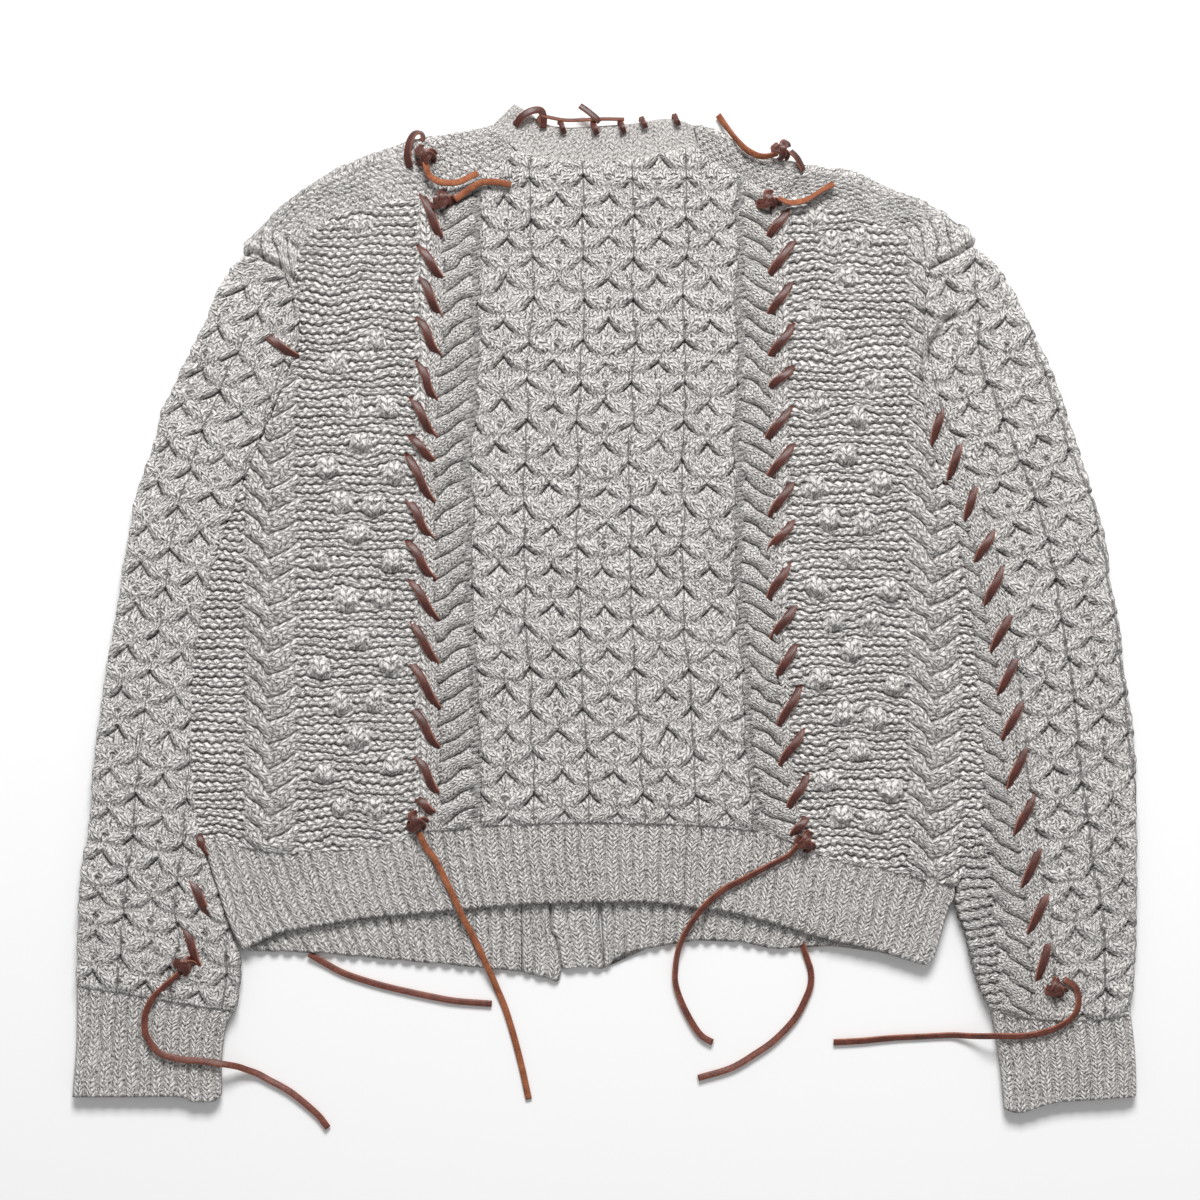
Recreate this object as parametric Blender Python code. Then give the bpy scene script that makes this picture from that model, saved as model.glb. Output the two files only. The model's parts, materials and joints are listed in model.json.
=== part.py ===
"""Cable knit cardigan, laid flat with its back up, panels laced together with flat leather lace.

Metres, +Z up. X runs from the wearer's left to the right, Y from the hem to the neck, and the
surface that the garment lies on is z = 0. Every table of places is in millimetres, measured from
the middle of the garment: x to the right, y towards the neck.
"""

import math

import bpy
import numpy as np

MM = 0.001

# Heights above the surface, and the thickness of the knitted cloth
CLOTH = 5.2  # cable knit in heavy yarn
RIB = 4.6  # one-by-one rib
LAYER_GAP = 0.3
PATCH_STEP = 0.01  # share of a panel's width over which the slope of its grid is taken
MOST_MARGIN = 0.25  # an edge margin never takes more of a panel than this
SEAM_GAP = 0.35  # each panel stops this far short of the seam line
LOOSE_GAP = 0.9  # the same along long curved edges that aren't sewn edge to edge
HIDDEN_GAP = 1.8  # the same where it doesn't show
BACK_LEVEL = CLOTH + LAYER_GAP  # the back lies on the fronts
TOP_LEVEL = BACK_LEVEL + CLOTH
EDGE_ROUND = 1.8  # how far the flat of a panel stops short of its rounded edge
SLEEVE_SLIT = 0.6  # free space inside a flattened sleeve

# Flat leather lace, and the round tube of about the same section that stands for it
LACE_WIDTH = 5.2
LACE_THICKNESS = 1.8
LACE_TUBE_RADIUS = 1.8
LACE_POINT_STEP = 2.6 * 2 * LACE_TUBE_RADIUS  # the points of a tube are 2.6 diameters apart
LACE_REST = LACE_TUBE_RADIUS + 0.15  # height of the middle of a lace end on the surface
LACE_LEVEL = TOP_LEVEL + 0.8  # underside of the lacing, clear of the soft swells of the cloth
LACE_ON_RIB = BACK_LEVEL + RIB + LAYER_GAP + LACE_TUBE_RADIUS
SHARP_TURN = 1.2  # two unit directions that add up to less than this meet in a sharp turn
SHARP_WIDENING = 1.5  # how much wider the strip is across a sharp turn

# Fineness of the solids
EDGE_SAMPLES = 6  # samples for each span of an edge line
ROUTE_SAMPLES = 12  # samples for each span of a lace's route
KNOT_RINGS = 6
KNOT_SIDES = 12
FOLLOWED_HOLLOW = 0.2  # share of a hollow that the inside of a sleeve follows

# Lines that two pieces share. Each goes up from the hem or from left to right.
SEAM_LEFT = [(-124, -156), (-123, -106), (-125, -57), (-127, 6), (-128, 61), (-128, 103),
             (-125, 146), (-122, 202), (-121, 258), (-122, 286)]
SEAM_RIGHT = [(137, -166), (135, -134), (130, -99), (129, -64), (125, -22), (122, 20), (123, 62),
              (122, 104), (122, 146), (123, 174), (122, 216), (123, 244), (122, 286)]
SIDE_LEFT = [(-282, -161), (-286, -134), (-288, -78), (-287, -42), (-281, -6), (-272, 32),
             (-252, 87), (-222, 160), (-214, 185), (-213, 206), (-218, 227)]
SIDE_RIGHT = [(246, -194), (254, -172), (260, -155), (263, -137), (263, -104), (262, -78),
              (260, -51), (256, -6), (250, 32), (245, 56), (236, 87), (227, 118), (222, 150),
              (222, 195), (226, 236)]
HEM_SEAM = [(-282, -161), (-229, -171), (-202, -170), (-167, -168), (-140, -162), (-124, -156),
            (-59, -151), (-3, -150), (67, -152), (112, -157), (137, -166), (158, -175),
            (184, -181), (211, -186), (229, -191), (246, -194)]
ARMHOLE_LEFT = [(-218, 227), (-226, 237), (-238, 243), (-251, 247), (-252, 255)]
ARMHOLE_RIGHT = [(226, 236), (237, 242), (247, 247), (257, 253), (260, 259)]
SHOULDER_LEFT = [(-218, 227), (-214, 248), (-202, 267), (-182, 277), (-162, 281), (-132, 287),
                 (-122, 286)]
SHOULDER_RIGHT = [(122, 286), (131, 289), (162, 280), (195, 268), (214, 254), (226, 236)]
YOKE_LEFT = [(-122, 286), (-94, 298), (-75, 308), (-62, 319)]
YOKE_RIGHT = [(66, 321), (67, 317), (92, 302), (122, 286)]
NECK_SEAM = [(-76, 338), (-69, 329), (-61, 321), (-41, 313), (-18, 312), (4, 312), (25, 314),
             (40, 318), (65, 322)]

# Outlines of the pieces that show
HEM_EDGE = [(-253, -240), (-229, -228), (-202, -223), (-167, -217), (-131, -214), (-101, -211),
            (-50, -207), (-5, -206), (31, -206), (66, -210), (93, -214), (123, -222),
            (157, -232), (193, -240), (220, -249), (225, -250)]
HEM_END_LEFT = [(-253, -240), (-263, -221), (-270, -200), (-277, -178), (-282, -161)]
HEM_END_RIGHT = [(225, -250), (231, -244), (236, -228), (241, -211), (245, -203), (246, -194)]
SLEEVE_LEFT_OUTER = [(-370, -264), (-369, -223), (-367, -187), (-361, -151), (-358, -110),
                     (-354, -78), (-349, -42), (-342, -4), (-337, 32), (-332, 57), (-328, 80),
                     (-315, 117), (-310, 139), (-300, 159), (-292, 177), (-281, 198),
                     (-273, 218), (-263, 237), (-251, 247)]
SLEEVE_LEFT_INNER = [(-258, -281), (-255, -262), (-255, -244), (-263, -221), (-270, -200),
                     (-277, -178), (-282, -161), (-286, -134), (-288, -78), (-287, -42),
                     (-281, -6), (-272, 32), (-252, 87), (-222, 160), (-214, 185), (-213, 206),
                     (-218, 227)]
SLEEVE_LEFT_HEAD = [(-251, 247), (-238, 243), (-226, 237), (-218, 227)]
SLEEVE_LEFT_WRIST = [(-370, -264), (-330, -270), (-290, -277), (-258, -281)]
SLEEVE_RIGHT_INNER = [(270, -281), (261, -263), (252, -228), (245, -207), (247, -192),
                      (254, -172), (260, -155), (263, -137), (263, -104), (262, -78),
                      (260, -51), (256, -6), (250, 32), (245, 56), (236, 87), (227, 118),
                      (222, 150), (222, 195), (226, 236)]
SLEEVE_RIGHT_OUTER = [(369, -284), (372, -250), (373, -200), (373, -134), (372, -104),
                      (369, -72), (364, -42), (361, -11), (355, 17), (352, 45), (344, 74),
                      (335, 104), (327, 128), (318, 155), (309, 177), (297, 202), (288, 220),
                      (277, 237), (266, 249), (257, 253)]
SLEEVE_RIGHT_HEAD = [(226, 236), (237, 242), (247, 247), (257, 253)]
SLEEVE_RIGHT_WRIST = [(270, -281), (300, -287), (335, -288), (369, -284)]
CUFF_LEFT_OUTER = [(-373, -343), (-372, -330), (-370, -302), (-370, -264)]
CUFF_LEFT_INNER = [(-268, -341), (-268, -317), (-265, -294), (-258, -281)]
CUFF_LEFT_EDGE = [(-373, -343), (-330, -343), (-296, -343), (-290, -346), (-274, -346),
                  (-268, -341)]
CUFF_RIGHT_OUTER = [(372, -343), (373, -338), (372, -310), (369, -284)]
CUFF_RIGHT_INNER = [(280, -351), (279, -340), (277, -320), (273, -295), (270, -281)]
CUFF_RIGHT_EDGE = [(280, -351), (292, -354), (316, -347), (345, -345), (372, -343)]
YOKE_FOLD_LEFT = [(-252, 255), (-241, 265), (-228, 280), (-202, 299), (-180, 311), (-141, 325),
                  (-116, 331), (-96, 334), (-82, 337), (-76, 338)]
YOKE_FOLD_RIGHT = [(63, 338), (75, 336), (88, 329), (100, 320), (134, 312), (148, 309),
                   (180, 304), (195, 295), (220, 286), (236, 278), (243, 270), (250, 268),
                   (260, 259)]
NECKBAND_EDGE = [(-62, 353), (-52, 347), (-43, 340), (-27, 337), (-5, 338), (21, 340),
                 (40, 343), (53, 342), (61, 339)]

# Pieces that lie under the back, finished plainly where the back hides them
FRONT_HEM_LEFT = [(-253, -240), (-202, -242), (-167, -245), (-121, -249), (-89, -252),
                  (-70, -254), (-58, -255)]
FRONT_HEM_RIGHT = [(0, -253), (14, -243), (40, -237), (66, -233), (93, -234), (123, -239),
                   (140, -237), (172, -238), (200, -243), (225, -250)]
FRONT_RIB_LEFT = [(-282, -161), (-240, -176), (-160, -184), (-100, -190), (-58, -192)]
FRONT_RIB_RIGHT = [(-4, -188), (60, -180), (120, -182), (180, -187), (246, -194)]
BAND_LEFT_EDGE = [(-58, -192), (-54, 0), (-50, 180), (-48, 232)]
BAND_RIGHT_EDGE = [(-4, -188), (2, 0), (6, 180), (8, 228)]
BAND_FOOT_RIGHT = (-25, -251)
BAND_MEETING = [(-32, -262), (-30, -252), (-34, -232), (-38, -205), (-34, 0), (-30, 180),
                (-28, 229)]
NECK_FRONT_LEFT = [(-48, 232), (-60, 245), (-74, 268), (-84, 300), (-86, 334)]
NECK_FRONT_RIGHT = [(8, 228), (36, 238), (62, 262), (76, 296), (76, 334)]
COLLAR_LEFT = [(-28, 229), (-30, 252), (-44, 262), (-58, 276), (-66, 294), (-68, 318)]
COLLAR_RIGHT = [(-28, 229), (-26, 250), (-12, 252), (24, 258), (44, 272), (54, 292), (58, 318)]

# Soft swellings and hollows of the cloth: place, size along x and y, and height
SWELLS = [
    dict(x=240, y=150, wide=14, long=34, high=1.6),
    dict(x=234, y=190, wide=9, long=26, high=-2.2),
    dict(x=262, y=60, wide=16, long=60, high=1.2),
    dict(x=-246, y=150, wide=16, long=50, high=1.3),
    dict(x=-222, y=205, wide=9, long=26, high=-1.6),
    dict(x=-175, y=110, wide=26, long=80, high=1.0),
    dict(x=180, y=140, wide=22, long=90, high=1.1),
    dict(x=-320, y=-60, wide=22, long=120, high=1.2),
    dict(x=325, y=-120, wide=24, long=120, high=1.2),
]

# Lacing stitches on the back: the upper and the lower end of each one, from the neck down
LACING_BACK_LEFT = [
    ((-127, 288), (-113, 257)), ((-129, 253), (-113, 229)), ((-128, 232), (-115, 204)),
    ((-130, 203), (-116, 177)), ((-130, 172), (-118, 145)), ((-134, 146), (-119, 120)),
    ((-135, 120), (-119, 102)), ((-137, 106), (-120, 74)), ((-137, 75), (-121, 49)),
    ((-137, 46), (-119, 20)), ((-135, 19), (-117, -8)), ((-134, -10), (-117, -39)),
    ((-134, -39), (-115, -71)), ((-133, -71), (-115, -99)), ((-131, -104), (-115, -131)),
    ((-131, -133), (-118, -144)),
]
LACING_BACK_RIGHT = [
    ((128, 279), (114, 257)), ((132, 257), (114, 230)), ((130, 228), (114, 202)),
    ((131, 198), (115, 173)), ((131, 169), (115, 152)), ((129, 140), (113, 116)),
    ((131, 114), (114, 90)), ((131, 88), (116, 64)), ((131, 61), (115, 39)),
    ((128, 31), (115, 6)), ((133, 2), (117, -22)), ((133, -26), (120, -50)),
    ((136, -56), (122, -83)), ((138, -85), (123, -111)), ((141, -117), (128, -143)),
    ((141, -146), (131, -160)),
]
LACING_SLEEVE_RIGHT = [
    ((235, 141), (230, 114)), ((248, 116), (241, 88)), ((258, 86), (253, 60)),
    ((271, 55), (260, 31)), ((277, 29), (267, 1)), ((284, -1), (271, -31)),
    ((288, -33), (276, -61)), ((292, -63), (279, -92)), ((294, -95), (283, -127)),
    ((299, -130), (288, -159)), ((304, -165), (293, -196)), ((309, -198), (297, -228)),
    ((310, -232), (303, -262)),
]
LACING_SLEEVE_LEFT = [
    ((-284, -158), (-279, -172)), ((-289, -190), (-275, -216)), ((-293, -223), (-282, -253)),
]
LACING_SLEEVE_LEFT_TOP = [((-238, 191), (-215, 176))]
LACING = {
    "lacing_back_left": LACING_BACK_LEFT,
    "lacing_back_right": LACING_BACK_RIGHT,
    "lacing_sleeve_right": LACING_SLEEVE_RIGHT,
    "lacing_sleeve_left": LACING_SLEEVE_LEFT,
    "lacing_sleeve_left_top": LACING_SLEEVE_LEFT_TOP,
}

# Knots that end the lacing: middle, size across and height
KNOTS = [
    dict(node="knot_back_left", x=-131, y=-149, wide=15, long=13, high=8),
    dict(node="knot_back_right", x=141, y=-163, wide=15, long=13, high=8),
    dict(node="knot_sleeve_left", x=-293, y=-249, wide=14, long=14, high=8),
    dict(node="knot_sleeve_right", x=316, y=-265, wide=16, long=12, high=8),
    dict(node="knot_shoulder_left", x=-125, y=316, wide=15, long=14, high=9),
    dict(node="knot_shoulder_right", x=124, y=320, wide=14, long=12, high=9),
    dict(node="knot_yoke_left", x=-112, y=286, wide=20, long=10, high=8),
    dict(node="knot_yoke_right", x=115, y=285, wide=18, long=11, high=8),
]

# Routes of the free lace ends, from the garment outwards: x, y and height of the middle line
TAILS = {
    "tail_back_left": [
        (-128, -160, 13.2), (-124, -168, 12.7), (-118, -176, LACE_ON_RIB + 0.3),
        (-108, -196, LACE_ON_RIB + 0.3), (-103, -207, 12.3), (-99, -216, 10.8),
        (-94, -226, 8.4), (-89, -236, 7.4), (-84, -247, 7.0), (-79, -258, 5.4),
        (-75, -268, 2.8), (-70, -280, LACE_REST), (-64, -299, LACE_REST),
        (-58, -322, LACE_REST), (-53, -345, LACE_REST)],
    "tail_front_left": [
        (-200, -247, 2.6), (-195, -250, 2.1), (-186, -255, LACE_REST), (-176, -259, LACE_REST),
        (-160, -264, LACE_REST), (-144, -268, LACE_REST), (-121, -273, LACE_REST),
        (-104, -276, LACE_REST), (-79, -278, LACE_REST)],
    "tail_back_right": [
        (133, -168, 13.2), (128, -173, 12.7), (113, -181, LACE_ON_RIB + 0.3),
        (96, -190, LACE_ON_RIB + 0.3), (84, -196, LACE_ON_RIB + 0.3), (73, -205, 12.4),
        (66, -213, 11.0), (60, -222, 8.4), (56, -229, 7.0), (53, -236, 6.4),
        (51, -244, 4.0), (50, -253, LACE_REST), (50, -263, LACE_REST), (54, -276, LACE_REST),
        (61, -290, LACE_REST), (68, -300, LACE_REST), (76, -305, LACE_REST)],
    "tail_front_right": [
        (141, -242, 2.6), (143, -248, 2.1), (145, -255, LACE_REST), (145, -264, LACE_REST),
        (142, -273, LACE_REST), (134, -288, LACE_REST), (120, -303, LACE_REST),
        (106, -313, LACE_REST), (89, -323, LACE_REST), (66, -330, LACE_REST)],
    "tail_sleeve_left": [
        (-299, -257, 13.6), (-308, -265, 13.4), (-315, -272, 13.2), (-320, -282, 12.6),
        (-321, -293, 12.1), (-318, -302, 12.1), (-310, -311, 12.1), (-296, -315, 12.1),
        (-285, -316, 12.1), (-276, -317, 12.2), (-270, -318, 12.1), (-264, -319, 10.8),
        (-257, -321, 7.6), (-250, -324, 4.4), (-243, -327, 2.4), (-236, -331, LACE_REST),
        (-220, -340, LACE_REST), (-202, -355, LACE_REST), (-194, -365, LACE_REST)],
    "tail_sleeve_right": [
        (324, -261, 13.7), (329, -265, 13.5), (331, -273, 13.5), (328, -284, 13.5),
        (316, -293, 12.9), (300, -298, 12.1), (289, -299, 12.1), (280, -299, 12.2),
        (272, -299, 11.8), (265, -299.5, 9.4), (258, -300, 6.0), (250, -300, 3.2),
        (242, -300, LACE_REST), (222, -301, LACE_REST), (202, -302, LACE_REST),
        (180, -304, LACE_REST), (161, -305, LACE_REST)],
    "tail_shoulder_left": [
        (-124, 307, 15.4), (-123, 303, 15.4), (-119, 299, 15.6), (-113, 296.5, 16.2),
        (-106, 296, 17.2), (-100, 297, 17.6), (-94, 300, 17.4), (-88, 303, 17.0)],
    "tail_yoke_left": [
        (-101, 287, 13.4), (-97, 290, 13.2), (-91, 294, 13.1), (-84, 297, 13.1),
        (-75, 297, 13.1), (-65, 295, 13.1)],
    "tail_shoulder_right": [
        (117, 316, 13.4), (112, 315, 13.2), (106, 316, 13.2), (99, 320, 13.1),
        (94, 325, 12.6), (90, 330, 10.6), (87, 335, 7.6), (84.5, 339, 4.8), (82, 343, 2.6),
        (80, 346, LACE_REST)],
    "tail_yoke_right": [
        (125, 284, 13.4), (129, 282.5, 13.2), (135, 283, 13.1), (142, 285, 13.1),
        (150, 290, 13.1), (160, 296, 13.1)],
}

# Held lengths of lace that turn over an edge, as round tubes
HELD_LACES = {
    "loop_shoulder_left": [
        (-134, 308, 13.0), (-136, 317, 13.6), (-136, 325, 13.4), (-134, 331, 11.0),
        (-130, 333, 7.6)],
    "loop_shoulder_right": [(132, 317, 13.6), (135, 313, 13.4), (138, 308, 13.0)],
    "lace_end_neck": [(-17, 351.5, 8.0), (-13, 348.5, 8.0), (-9, 346, 7.8)],
    "lacing_neck": [
        (-51, 351, 8.6), (-44, 346, 8.2), (-36, 343, 7.8), (-28, 341.5, 7.6),
        (-15, 341.2, 7.6), (0, 341.8, 7.6), (15, 343.2, 7.6), (28, 345.5, 7.6),
        (40, 347, 7.6), (52, 346, 7.6)],
}

CABLE_KNIT = dict(name="cable_knit", colour=(0.45, 0.43, 0.42), roughness=0.95)
BOBBLE_KNIT = dict(name="bobble_knit", colour=(0.43, 0.41, 0.40), roughness=0.95)
RIB_KNIT = dict(name="rib_knit", colour=(0.41, 0.39, 0.38), roughness=0.95)
LACE_LEATHER = dict(name="lace_leather", colour=(0.10, 0.028, 0.018), roughness=0.55)
LACE_SUEDE = dict(name="lace_suede", colour=(0.30, 0.10, 0.035), roughness=0.85)
SUEDE_UP = ("tail_back_left",)  # lace ends that lie with their flesh side up


def clear_scene():
    for old in list(bpy.data.objects):
        bpy.data.objects.remove(old, do_unlink=True)


def material(finish):
    """The Principled material of a finish, made the first time that it is asked for."""
    known = bpy.data.materials.get(finish["name"])
    if known:
        return known
    made = bpy.data.materials.new(finish["name"])
    made.use_nodes = True
    shader = made.node_tree.nodes["Principled BSDF"]
    shader.inputs["Base Color"].default_value = (*finish["colour"], 1.0)
    shader.inputs["Roughness"].default_value = finish["roughness"]
    shader.inputs["Metallic"].default_value = 0.0
    return made


def catmull_rom(points, per_span):
    """A smooth curve through the points, per_span samples to each span."""
    points = np.array(points, float)
    ends = np.vstack([2 * points[0] - points[1], points, 2 * points[-1] - points[-2]])
    t = np.linspace(0.0, 1.0, per_span, endpoint=False)[:, None]
    spans = []
    for a, b, c, d in zip(ends, ends[1:], ends[2:], ends[3:]):
        spans.append(0.5 * (2 * b + (c - a) * t + (2 * a - 5 * b + 4 * c - d) * t ** 2
                            + (3 * b - a - 3 * c + d) * t ** 3))
    return np.vstack(spans + [points[-1:]])


def along(line, fractions):
    """Points of a drawn line at the given fractions of its length."""
    lengths = np.concatenate([[0.0], np.cumsum(np.linalg.norm(np.diff(line, axis=0), axis=1))])
    wanted = np.asarray(fractions) * lengths[-1]
    return np.stack([np.interp(wanted, lengths, column) for column in line.T], axis=-1)


def coons_patch(bottom, top, left, right):
    """A function that gives the place of (u, v) inside four edge lines."""
    lines = (bottom, top, left, right)
    bottom, top, left, right = (catmull_rom(line, EDGE_SAMPLES) for line in lines)

    def place(u, v):
        u = np.asarray(u, float)
        v = np.asarray(v, float)
        across = (1 - v)[..., None] * along(bottom, u) + v[..., None] * along(top, u)
        upward = (1 - u)[..., None] * along(left, v) + u[..., None] * along(right, v)
        corners = ((1 - u) * (1 - v))[..., None] * bottom[0] + (u * (1 - v))[..., None] * bottom[-1]
        corners = corners + ((1 - u) * v)[..., None] * top[0] + (u * v)[..., None] * top[-1]
        return across + upward - corners

    return place


def margin(patch, u, v, du, dv, set_in):
    """How far (u, v) has to move along (du, dv) to lie set_in millimetres inside an edge."""
    here = patch(u, v)
    inward = (patch(u + du, v + dv) - here) / (abs(du) + abs(dv))
    beside = patch(np.clip(u + abs(dv), 0, 1), np.clip(v + abs(du), 0, 1))
    before = patch(np.clip(u - abs(dv), 0, 1), np.clip(v - abs(du), 0, 1))
    edge = beside - before
    edge /= np.linalg.norm(edge, axis=-1, keepdims=True)
    rate = np.abs(inward[..., 0] * edge[..., 1] - inward[..., 1] * edge[..., 0])
    return np.minimum(set_in / np.maximum(rate, 1e-6), MOST_MARGIN)


def patch_grid(patch, columns, rows, left, right, ends):
    """Places of a grid on a patch that stops short of its side lines and its end lines."""
    u = np.linspace(0.0, 1.0, columns)
    v = np.linspace(0.0, 1.0, rows)
    step = PATCH_STEP
    low_u = margin(patch, 0 * v, v, step, 0.0, left)[:, None]
    high_u = margin(patch, 0 * v + 1, v, -step, 0.0, right)[:, None]
    low_v = margin(patch, u, 0 * u, 0.0, step, ends)[None, :]
    high_v = margin(patch, u, 0 * u + 1, 0.0, -step, ends)[None, :]
    grid_u = low_u + (1 - low_u - high_u) * u[None, :]
    grid_v = low_v + (1 - low_v - high_v) * v[:, None]
    return patch(grid_u, grid_v)


def swelling(places):
    """Height of the soft swells and hollows of the cloth over each place."""
    height = np.zeros(places.shape[:-1])
    for swell in SWELLS:
        dx = (places[..., 0] - swell["x"]) / swell["wide"]
        dy = (places[..., 1] - swell["y"]) / swell["long"]
        height += swell["high"] * np.exp(-(dx ** 2 + dy ** 2))
    return height


def new_object(name, points, faces, finish, smooth=True):
    """A mesh object from points in millimetres."""
    mesh = bpy.data.meshes.new(name)
    mesh.from_pydata([tuple(MM * value for value in point) for point in points], [], faces)
    mesh.materials.append(material(finish))
    if smooth:
        mesh.shade_smooth()
    mesh.validate()
    made = bpy.data.objects.new(name, mesh)
    bpy.context.scene.collection.objects.link(made)
    return made


def rim_indices(columns, rows):
    """Indices of the border of a grid, counter-clockwise from its first corner."""
    lower = list(range(columns - 1))
    right = [columns - 1 + columns * row for row in range(rows - 1)]
    upper = [columns * rows - 1 - column for column in range(columns - 1)]
    left = [columns * (rows - 1 - row) for row in range(rows - 1)]
    return lower + right + upper + left


def sheet(name, edges, finish, grid, level, thick, gaps=(SEAM_GAP, SEAM_GAP, SEAM_GAP),
          lean=0.0, swell=True):
    """One layer of cloth between four edge lines, with a rounded rim.

    gaps is how far it stops short of its left side, its right side and both ends. lean is how
    much lower its top edge lies than its bottom edge.
    """
    columns, rows = grid
    patch = coons_patch(*edges)
    flat = patch_grid(patch, columns, rows, *(gap + EDGE_ROUND for gap in gaps))
    outer = patch_grid(patch, columns, rows, *gaps)
    fall = -lean * np.linspace(0.0, 1.0, rows)[:, None] * np.ones(columns)
    puff = swelling(flat) if swell else 0.0
    under = np.dstack([flat, fall + level]).reshape(-1, 3)
    over = np.dstack([flat, fall + level + thick + puff]).reshape(-1, 3)
    middle = np.dstack([outer, fall + level + 0.5 * thick]).reshape(-1, 3)
    rim = rim_indices(columns, rows)
    points = np.vstack([under, over, middle[rim]])
    count = columns * rows
    faces = []
    for row in range(rows - 1):
        for column in range(columns - 1):
            a = row * columns + column
            b, c, d = a + 1, a + columns + 1, a + columns
            faces.append((a, d, c, b))
            faces.append((count + a, count + b, count + c, count + d))
    for step, here in enumerate(rim):
        following = (step + 1) % len(rim)
        there = rim[following]
        mid_here = 2 * count + step
        mid_there = 2 * count + following
        faces.append((here, there, mid_there, mid_here))
        faces.append((mid_here, mid_there, count + there, count + here))
    return new_object(name, points.tolist(), faces, finish)


def flattened_tube(name, edges, finish, grid, thick, side_gap=SEAM_GAP):
    """A sleeve or cuff laid flat: two layers joined round both side folds, open at both ends."""
    columns, rows = grid
    patch = coons_patch(*edges)

    def places(set_in):
        return patch_grid(patch, columns, rows, side_gap + set_in, side_gap + set_in, SEAM_GAP)

    outer = places(EDGE_ROUND)
    outer_fold = places(0.0)
    inner = places(thick)
    inner_fold = places(thick - SLEEVE_SLIT)
    top = 2 * thick + SLEEVE_SLIT
    outer_lift = swelling(outer)
    inner_lift = np.minimum(0.0, swelling(inner))
    around = 2 * columns + 2
    points = []
    for row in range(rows):
        for ring, fold, low, high, lift in (
            (outer, outer_fold, 0.0, top, outer_lift),
            (inner, inner_fold, thick, thick + SLEEVE_SLIT, FOLLOWED_HOLLOW * inner_lift),
        ):
            points += [(x, y, high + rise) for (x, y), rise in zip(ring[row], lift[row])]
            points.append((*fold[row, -1], 0.5 * top))
            points += [(x, y, low) for x, y in ring[row, ::-1]]
            points.append((*fold[row, 0], 0.5 * top))
    faces = []
    for row in range(rows - 1):
        here = 2 * around * row
        after = here + 2 * around
        for step in range(around):
            turn = (step + 1) % around
            faces.append((here + step, here + turn, after + turn, after + step))
            faces.append((here + around + turn, here + around + step,
                          after + around + step, after + around + turn))
    for row in (0, rows - 1):
        here = 2 * around * row
        for step in range(around):
            turn = (step + 1) % around
            cap = (here + step, here + around + step, here + around + turn, here + turn)
            faces.append(cap if row == 0 else cap[::-1])
    return new_object(name, points, faces, finish)


def lace_strip(name, stitches):
    """A run of lacing as one flat strip that goes down each stitch and back up to the next."""
    route = np.array([end for stitch in stitches for end in stitch], float)
    levels = LACE_LEVEL + swelling(route).clip(0.0)
    half = 0.5 * LACE_WIDTH
    before = np.vstack([2 * route[0] - route[1], route[:-1]])
    after = np.vstack([route[1:], 2 * route[-1] - route[-2]])
    arriving = (route - before) / np.linalg.norm(route - before, axis=1, keepdims=True)
    leaving = (after - route) / np.linalg.norm(after - route, axis=1, keepdims=True)
    mean = arriving + leaving
    lengths = np.linalg.norm(mean, axis=1, keepdims=True)
    sharp = lengths[:, 0] < SHARP_TURN
    side = np.stack([-mean[:, 1], mean[:, 0]], axis=1) / np.maximum(lengths, 1e-6)
    width = np.where(sharp, SHARP_WIDENING * half, half)[:, None]
    left = route + side * width
    right = route - side * width
    points = []
    for one, other, level in zip(left, right, levels):
        points += [(*one, level), (*other, level), (*other, level + LACE_THICKNESS),
                   (*one, level + LACE_THICKNESS)]
    faces = [(0, 1, 2, 3)]
    for step in range(len(route) - 1):
        base = 4 * step
        for corner in range(4):
            turn = (corner + 1) % 4
            faces.append((base + turn, base + corner, base + 4 + corner, base + 4 + turn))
    last = 4 * (len(route) - 1)
    faces.append((last + 3, last + 2, last + 1, last))
    return new_object(name, points, faces, LACE_LEATHER, smooth=False)


def knot(node, x, y, wide, long, high):
    """A plain pebble of a knot's size that sits on the cloth."""
    centre = LACE_LEVEL + float(swelling(np.array([x, y])).clip(0.0)) + 0.5 * high
    points = [(x, y, centre - 0.5 * high)]
    for ring in range(1, KNOT_RINGS):
        polar = math.pi * ring / KNOT_RINGS
        for step in range(KNOT_SIDES):
            turn = 2 * math.pi * step / KNOT_SIDES
            points.append((x + 0.5 * wide * math.sin(polar) * math.cos(turn),
                           y + 0.5 * long * math.sin(polar) * math.sin(turn),
                           centre - 0.5 * high * math.cos(polar)))
    points.append((x, y, centre + 0.5 * high))
    top = len(points) - 1
    faces = []
    for step in range(KNOT_SIDES):
        turn = (step + 1) % KNOT_SIDES
        faces.append((0, 1 + turn, 1 + step))
        faces.append((top, top - KNOT_SIDES + step, top - KNOT_SIDES + turn))
        for ring in range(KNOT_RINGS - 2):
            low = 1 + ring * KNOT_SIDES
            high = low + KNOT_SIDES
            faces.append((low + step, low + turn, high + turn, high + step))
    return new_object(node, points, faces, LACE_LEATHER)


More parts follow.
